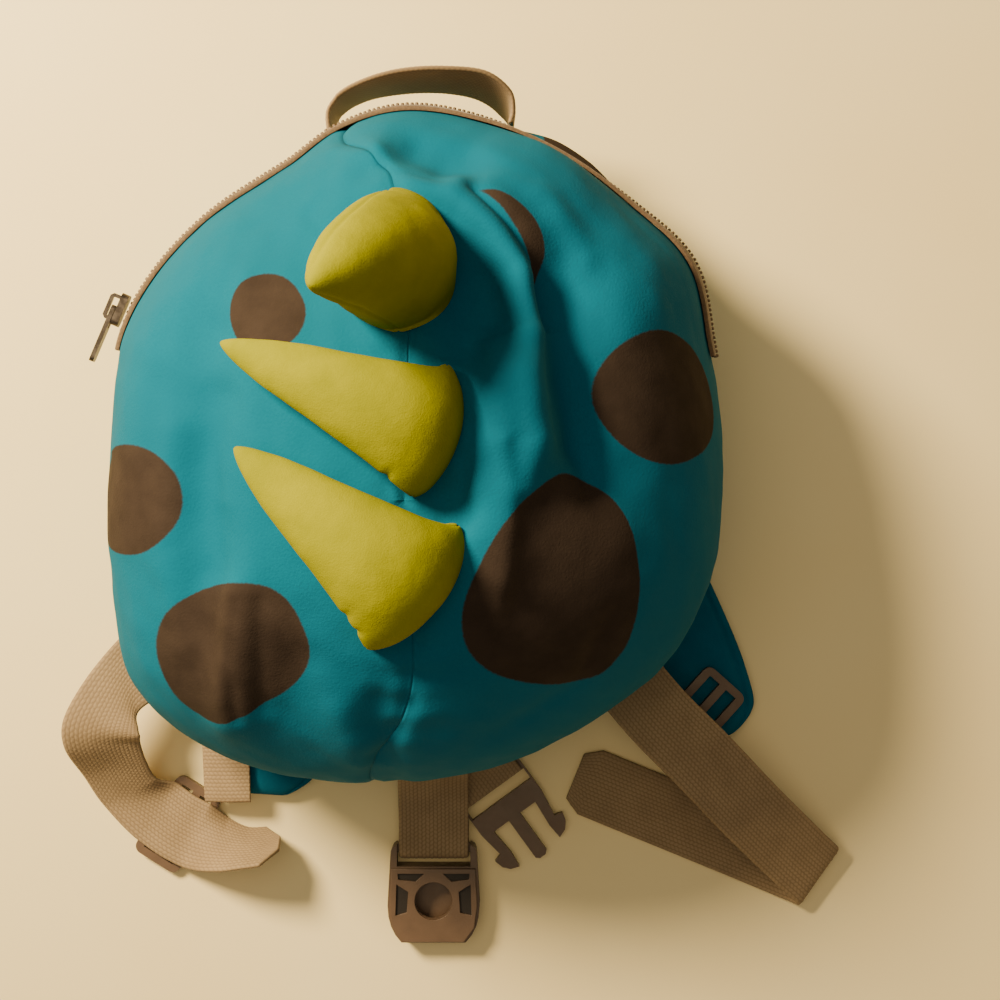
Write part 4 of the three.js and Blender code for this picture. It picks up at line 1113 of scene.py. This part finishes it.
# Shoulder pads: places in half widths, and the share of the pad's width
PAD_ROUTES = {
    "pad_left": [
        (-0.27, 0.9, 0.9), (-0.38, 0.5, 1), (-0.47, 0, 1), (-0.53, -0.5, 1), (-0.56, -0.85, 1),
        (-0.57, -0.98, 0.92), (-0.575, -1.055, 0.62),
    ],
    "pad_right": [
        (0.27, 0.9, 0.9), (0.43, 0.5, 1), (0.64, 0.05, 1), (0.84, -0.35, 1), (0.97, -0.66, 1),
        (1.01, -0.79, 0.92), (1.03, -0.86, 0.62),
    ],
}


def shoulder_pad(node, route):
    """A padded strap: two crowned faces that meet in a bound edge, with rounded ends."""
    rows = [(x * HALF_WIDTH, y * HALF_WIDTH, wide) for x, y, wide in route]
    path = curve_points(rows, np.linspace(0, 1, PAD_STEPS))
    forward = unit(np.gradient(path[:, :2], axis=0))
    across = np.column_stack([forward[:, 1], -forward[:, 0], np.zeros(PAD_STEPS)])
    middle = np.column_stack([path[:, :2], np.full(PAD_STEPS, PAD_THICKNESS / 2)])
    run = run_along(path[:, :2])
    to_end = np.minimum(run, run[-1] - run)
    end_share = np.clip(to_end / PAD_END, 0, 1)
    end_round = np.sqrt(np.clip(1 - (1 - end_share) ** 2, 0.0004, 1))
    half = PAD_WIDTH / 2 * path[:, 2] * (0.55 + 0.45 * end_round)
    ring = np.linspace(0, 2 * math.pi, PAD_SIDES, endpoint=False)[None, :]
    side = np.sign(np.cos(ring)) * np.abs(np.cos(ring)) ** 0.7
    level = np.sign(np.sin(ring)) * np.abs(np.sin(ring)) ** 0.75
    binding = 1 - 0.5 * np.exp(-((np.abs(side) - 0.84) / 0.035) ** 2)
    swell = 0.94 + 0.06 * ripples(middle, 26, 31)[:, None]
    height = PAD_THICKNESS / 2 * level * binding * swell * np.clip(end_round, 0.05, 1)[:, None]
    points = middle[:, None] + across[:, None] * (half[:, None] * side)[..., None]
    points[..., 2] = np.clip(PAD_THICKNESS / 2 + height, 0.02, PAD_THICKNESS)
    faces = [face[::-1] for face in grid_faces(PAD_STEPS, PAD_SIDES, True)]
    faces.append(list(range(PAD_SIDES)))
    faces.append([(PAD_STEPS - 1) * PAD_SIDES + side for side in reversed(range(PAD_SIDES))])
    made = add_object(node + "_cushion", points, faces, pad_cloth)
    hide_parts(node)


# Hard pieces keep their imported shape, with softened edges and a moulded finish

WINDOW_SHARE = 0.57
WINDOW_RADIUS = 6.9
WINDOW_SIDES = 40


def loop(shape, points):
    """A closed outline of a filled flat curve; an outline inside another is a hole in it."""
    line = shape.splines.new("POLY")
    line.points.add(len(points) - 1)
    for point, (x, y) in zip(line.points, points):
        point.co = (x * MM, y * MM, 0, 1)
    line.use_cyclic_u = True


def buckle_layer(name, material, thickness, rise, with_fields):
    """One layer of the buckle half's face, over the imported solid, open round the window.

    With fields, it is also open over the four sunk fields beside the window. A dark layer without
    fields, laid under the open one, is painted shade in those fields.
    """
    low, high = np.array(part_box("tether_buckle")) / MM - SHIFT
    half = (high[0] - low[0]) / 2 - 0.5
    length = high[1] - low[1]
    window = -length * WINDOW_SHARE
    shape = bpy.data.curves.new(name, "CURVE")
    shape.dimensions = "2D"
    shape.fill_mode = "BOTH"
    shape.extrude = thickness / 2 * MM
    shape.bevel_depth = 0.15 * MM
    shape.bevel_resolution = 2
    outline = [
        (half - 1.2, -8.6), (half - 0.6, -length * 0.62), (half - 1.6, -length * 0.84),
        (half - 5.2, -length + 0.6),
    ]
    loop(shape, outline + [(-across, along) for across, along in reversed(outline)])
    turns = [2 * math.pi * step / WINDOW_SIDES for step in range(WINDOW_SIDES)]
    loop(shape, [
        (WINDOW_RADIUS * math.cos(turn), window + WINDOW_RADIUS * math.sin(turn)) for turn in turns
    ])
    if with_fields:
        for side in (-1, 1):
            loop(shape, [
                (side * (half - 2.6), window + 6.2), (side * (half - 2.2), window - 5.4),
                (side * 9.4, window - 4.2), (side * 8.9, window + 3.4),
            ])
            loop(shape, [
                (side * (half - 3), -10), (side * 3, -10), (side * 6.4, window + 6.8),
                (side * (half - 3.2), window + 7.6),
            ])
    flat = bpy.data.objects.new(name, shape)
    mesh = bpy.data.meshes.new_from_object(flat)
    bpy.data.objects.remove(flat)
    mesh.materials.clear()
    mesh.materials.append(material)
    made = link(name, mesh)
    made.location = to_scene(((low[0] + high[0]) / 2, high[1], high[2] + rise))
    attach(made, "bag")


def finish_node(name, material, edge):
    """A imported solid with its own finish, smooth shading and rounded edges."""
    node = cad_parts[name]
    node.data.materials.clear()
    node.data.materials.append(material)
    for polygon in node.data.polygons:
        polygon.use_smooth = True
    bevel = node.modifiers.new("edges", "BEVEL")
    bevel.width = edge * MM
    bevel.segments = 3
    bevel.limit_method = "ANGLE"
    bevel.angle_limit = math.radians(35)
    bevel.harden_normals = True


front_panel("left")
front_panel("right")
side_band()
back_cushion()
zip_tape()
zip_teeth()
for row in SPIKES:
    spike(row)
grab_handle()
tether_strap()
prong_strap()
webbing_left()
webbing_right()
lock_tab()
for node, route in PAD_ROUTES.items():
    shoulder_pad(node, route)
for name in ("tether_buckle", "prong_buckle", "ladder_lock_left", "ladder_lock_right"):
    finish_node(name, buckle_plastic, 0.5)
for name in ("zip_slider", "zip_pull"):
    finish_node(name, slider_metal, 0.25)
# A thin dark plate under the face, seen only through its sunk fields, is painted shade in them
buckle_layer("buckle_field_shade", field_shade_plastic, 0.1, 0.1, False)
buckle_layer("buckle_face", buckle_plastic, 1.0, 0.6, True)

# Floor, light and camera

CAMERA_PLACE = (27, 0, 622)
VIEW_WIDTH = 363
SENSOR_WIDTH = 36
FLOOR_HALF = 3
FLOOR_DROP = 0.0003
FLOOR_COLOUR = srgb(255, 238, 184)
FLOOR_SHADE = srgb(252, 231, 172)
KEY_COLOUR = (1, 0.79, 0.48)
FILL_COLOUR = (1, 0.8, 0.52)
WORLD_COLOUR = (1, 0.86, 0.68, 1)
WORLD_STRENGTH = 0.17


def floor():
    mesh = bpy.data.meshes.new("floor")
    half = FLOOR_HALF
    corners = [(-half, -half, 0), (half, -half, 0), (half, half, 0), (-half, half, 0)]
    mesh.from_pydata(corners, [], [(0, 1, 2, 3)])
    finish = Finish("floor_finish", 0.6)
    patches = finish.ramp(finish.noise(160))
    finish.colour(finish.mix(patches, FLOOR_COLOUR, FLOOR_SHADE))
    mesh.materials.append(finish.material)
    made = link("floor", mesh)
    made.location.z = -FLOOR_DROP


def area_light(name, place, target, size, power, colour):
    light = bpy.data.lights.new(name, "AREA")
    light.shape = "DISK"
    light.size = size
    light.energy = power
    light.color = colour
    made = link(name, light)
    made.location = place
    made.rotation_euler = (Vector(target) - Vector(place)).to_track_quat("-Z", "Y").to_euler()


def camera():
    data = bpy.data.cameras.new("camera")
    data.sensor_width = SENSOR_WIDTH
    data.lens = SENSOR_WIDTH * CAMERA_PLACE[2] / VIEW_WIDTH
    made = link("camera", data)
    made.location = to_scene(CAMERA_PLACE)
    bpy.context.scene.camera = made


def room_light():
    """The dim even light from all round."""
    world = bpy.data.worlds.new("studio")
    world.use_nodes = True
    background = world.node_tree.nodes["Background"]
    background.inputs["Color"].default_value = WORLD_COLOUR
    background.inputs["Strength"].default_value = WORLD_STRENGTH
    bpy.context.scene.world = world


floor()
area_light("key", (-0.5, 0.4, 0.6), (0, 0, 0.05), 0.24, 21, KEY_COLOUR)
area_light("fill", (-0.2, 0.1, 1.6), (0, 0, 0), 1.4, 6.5, FILL_COLOUR)
room_light()
camera()
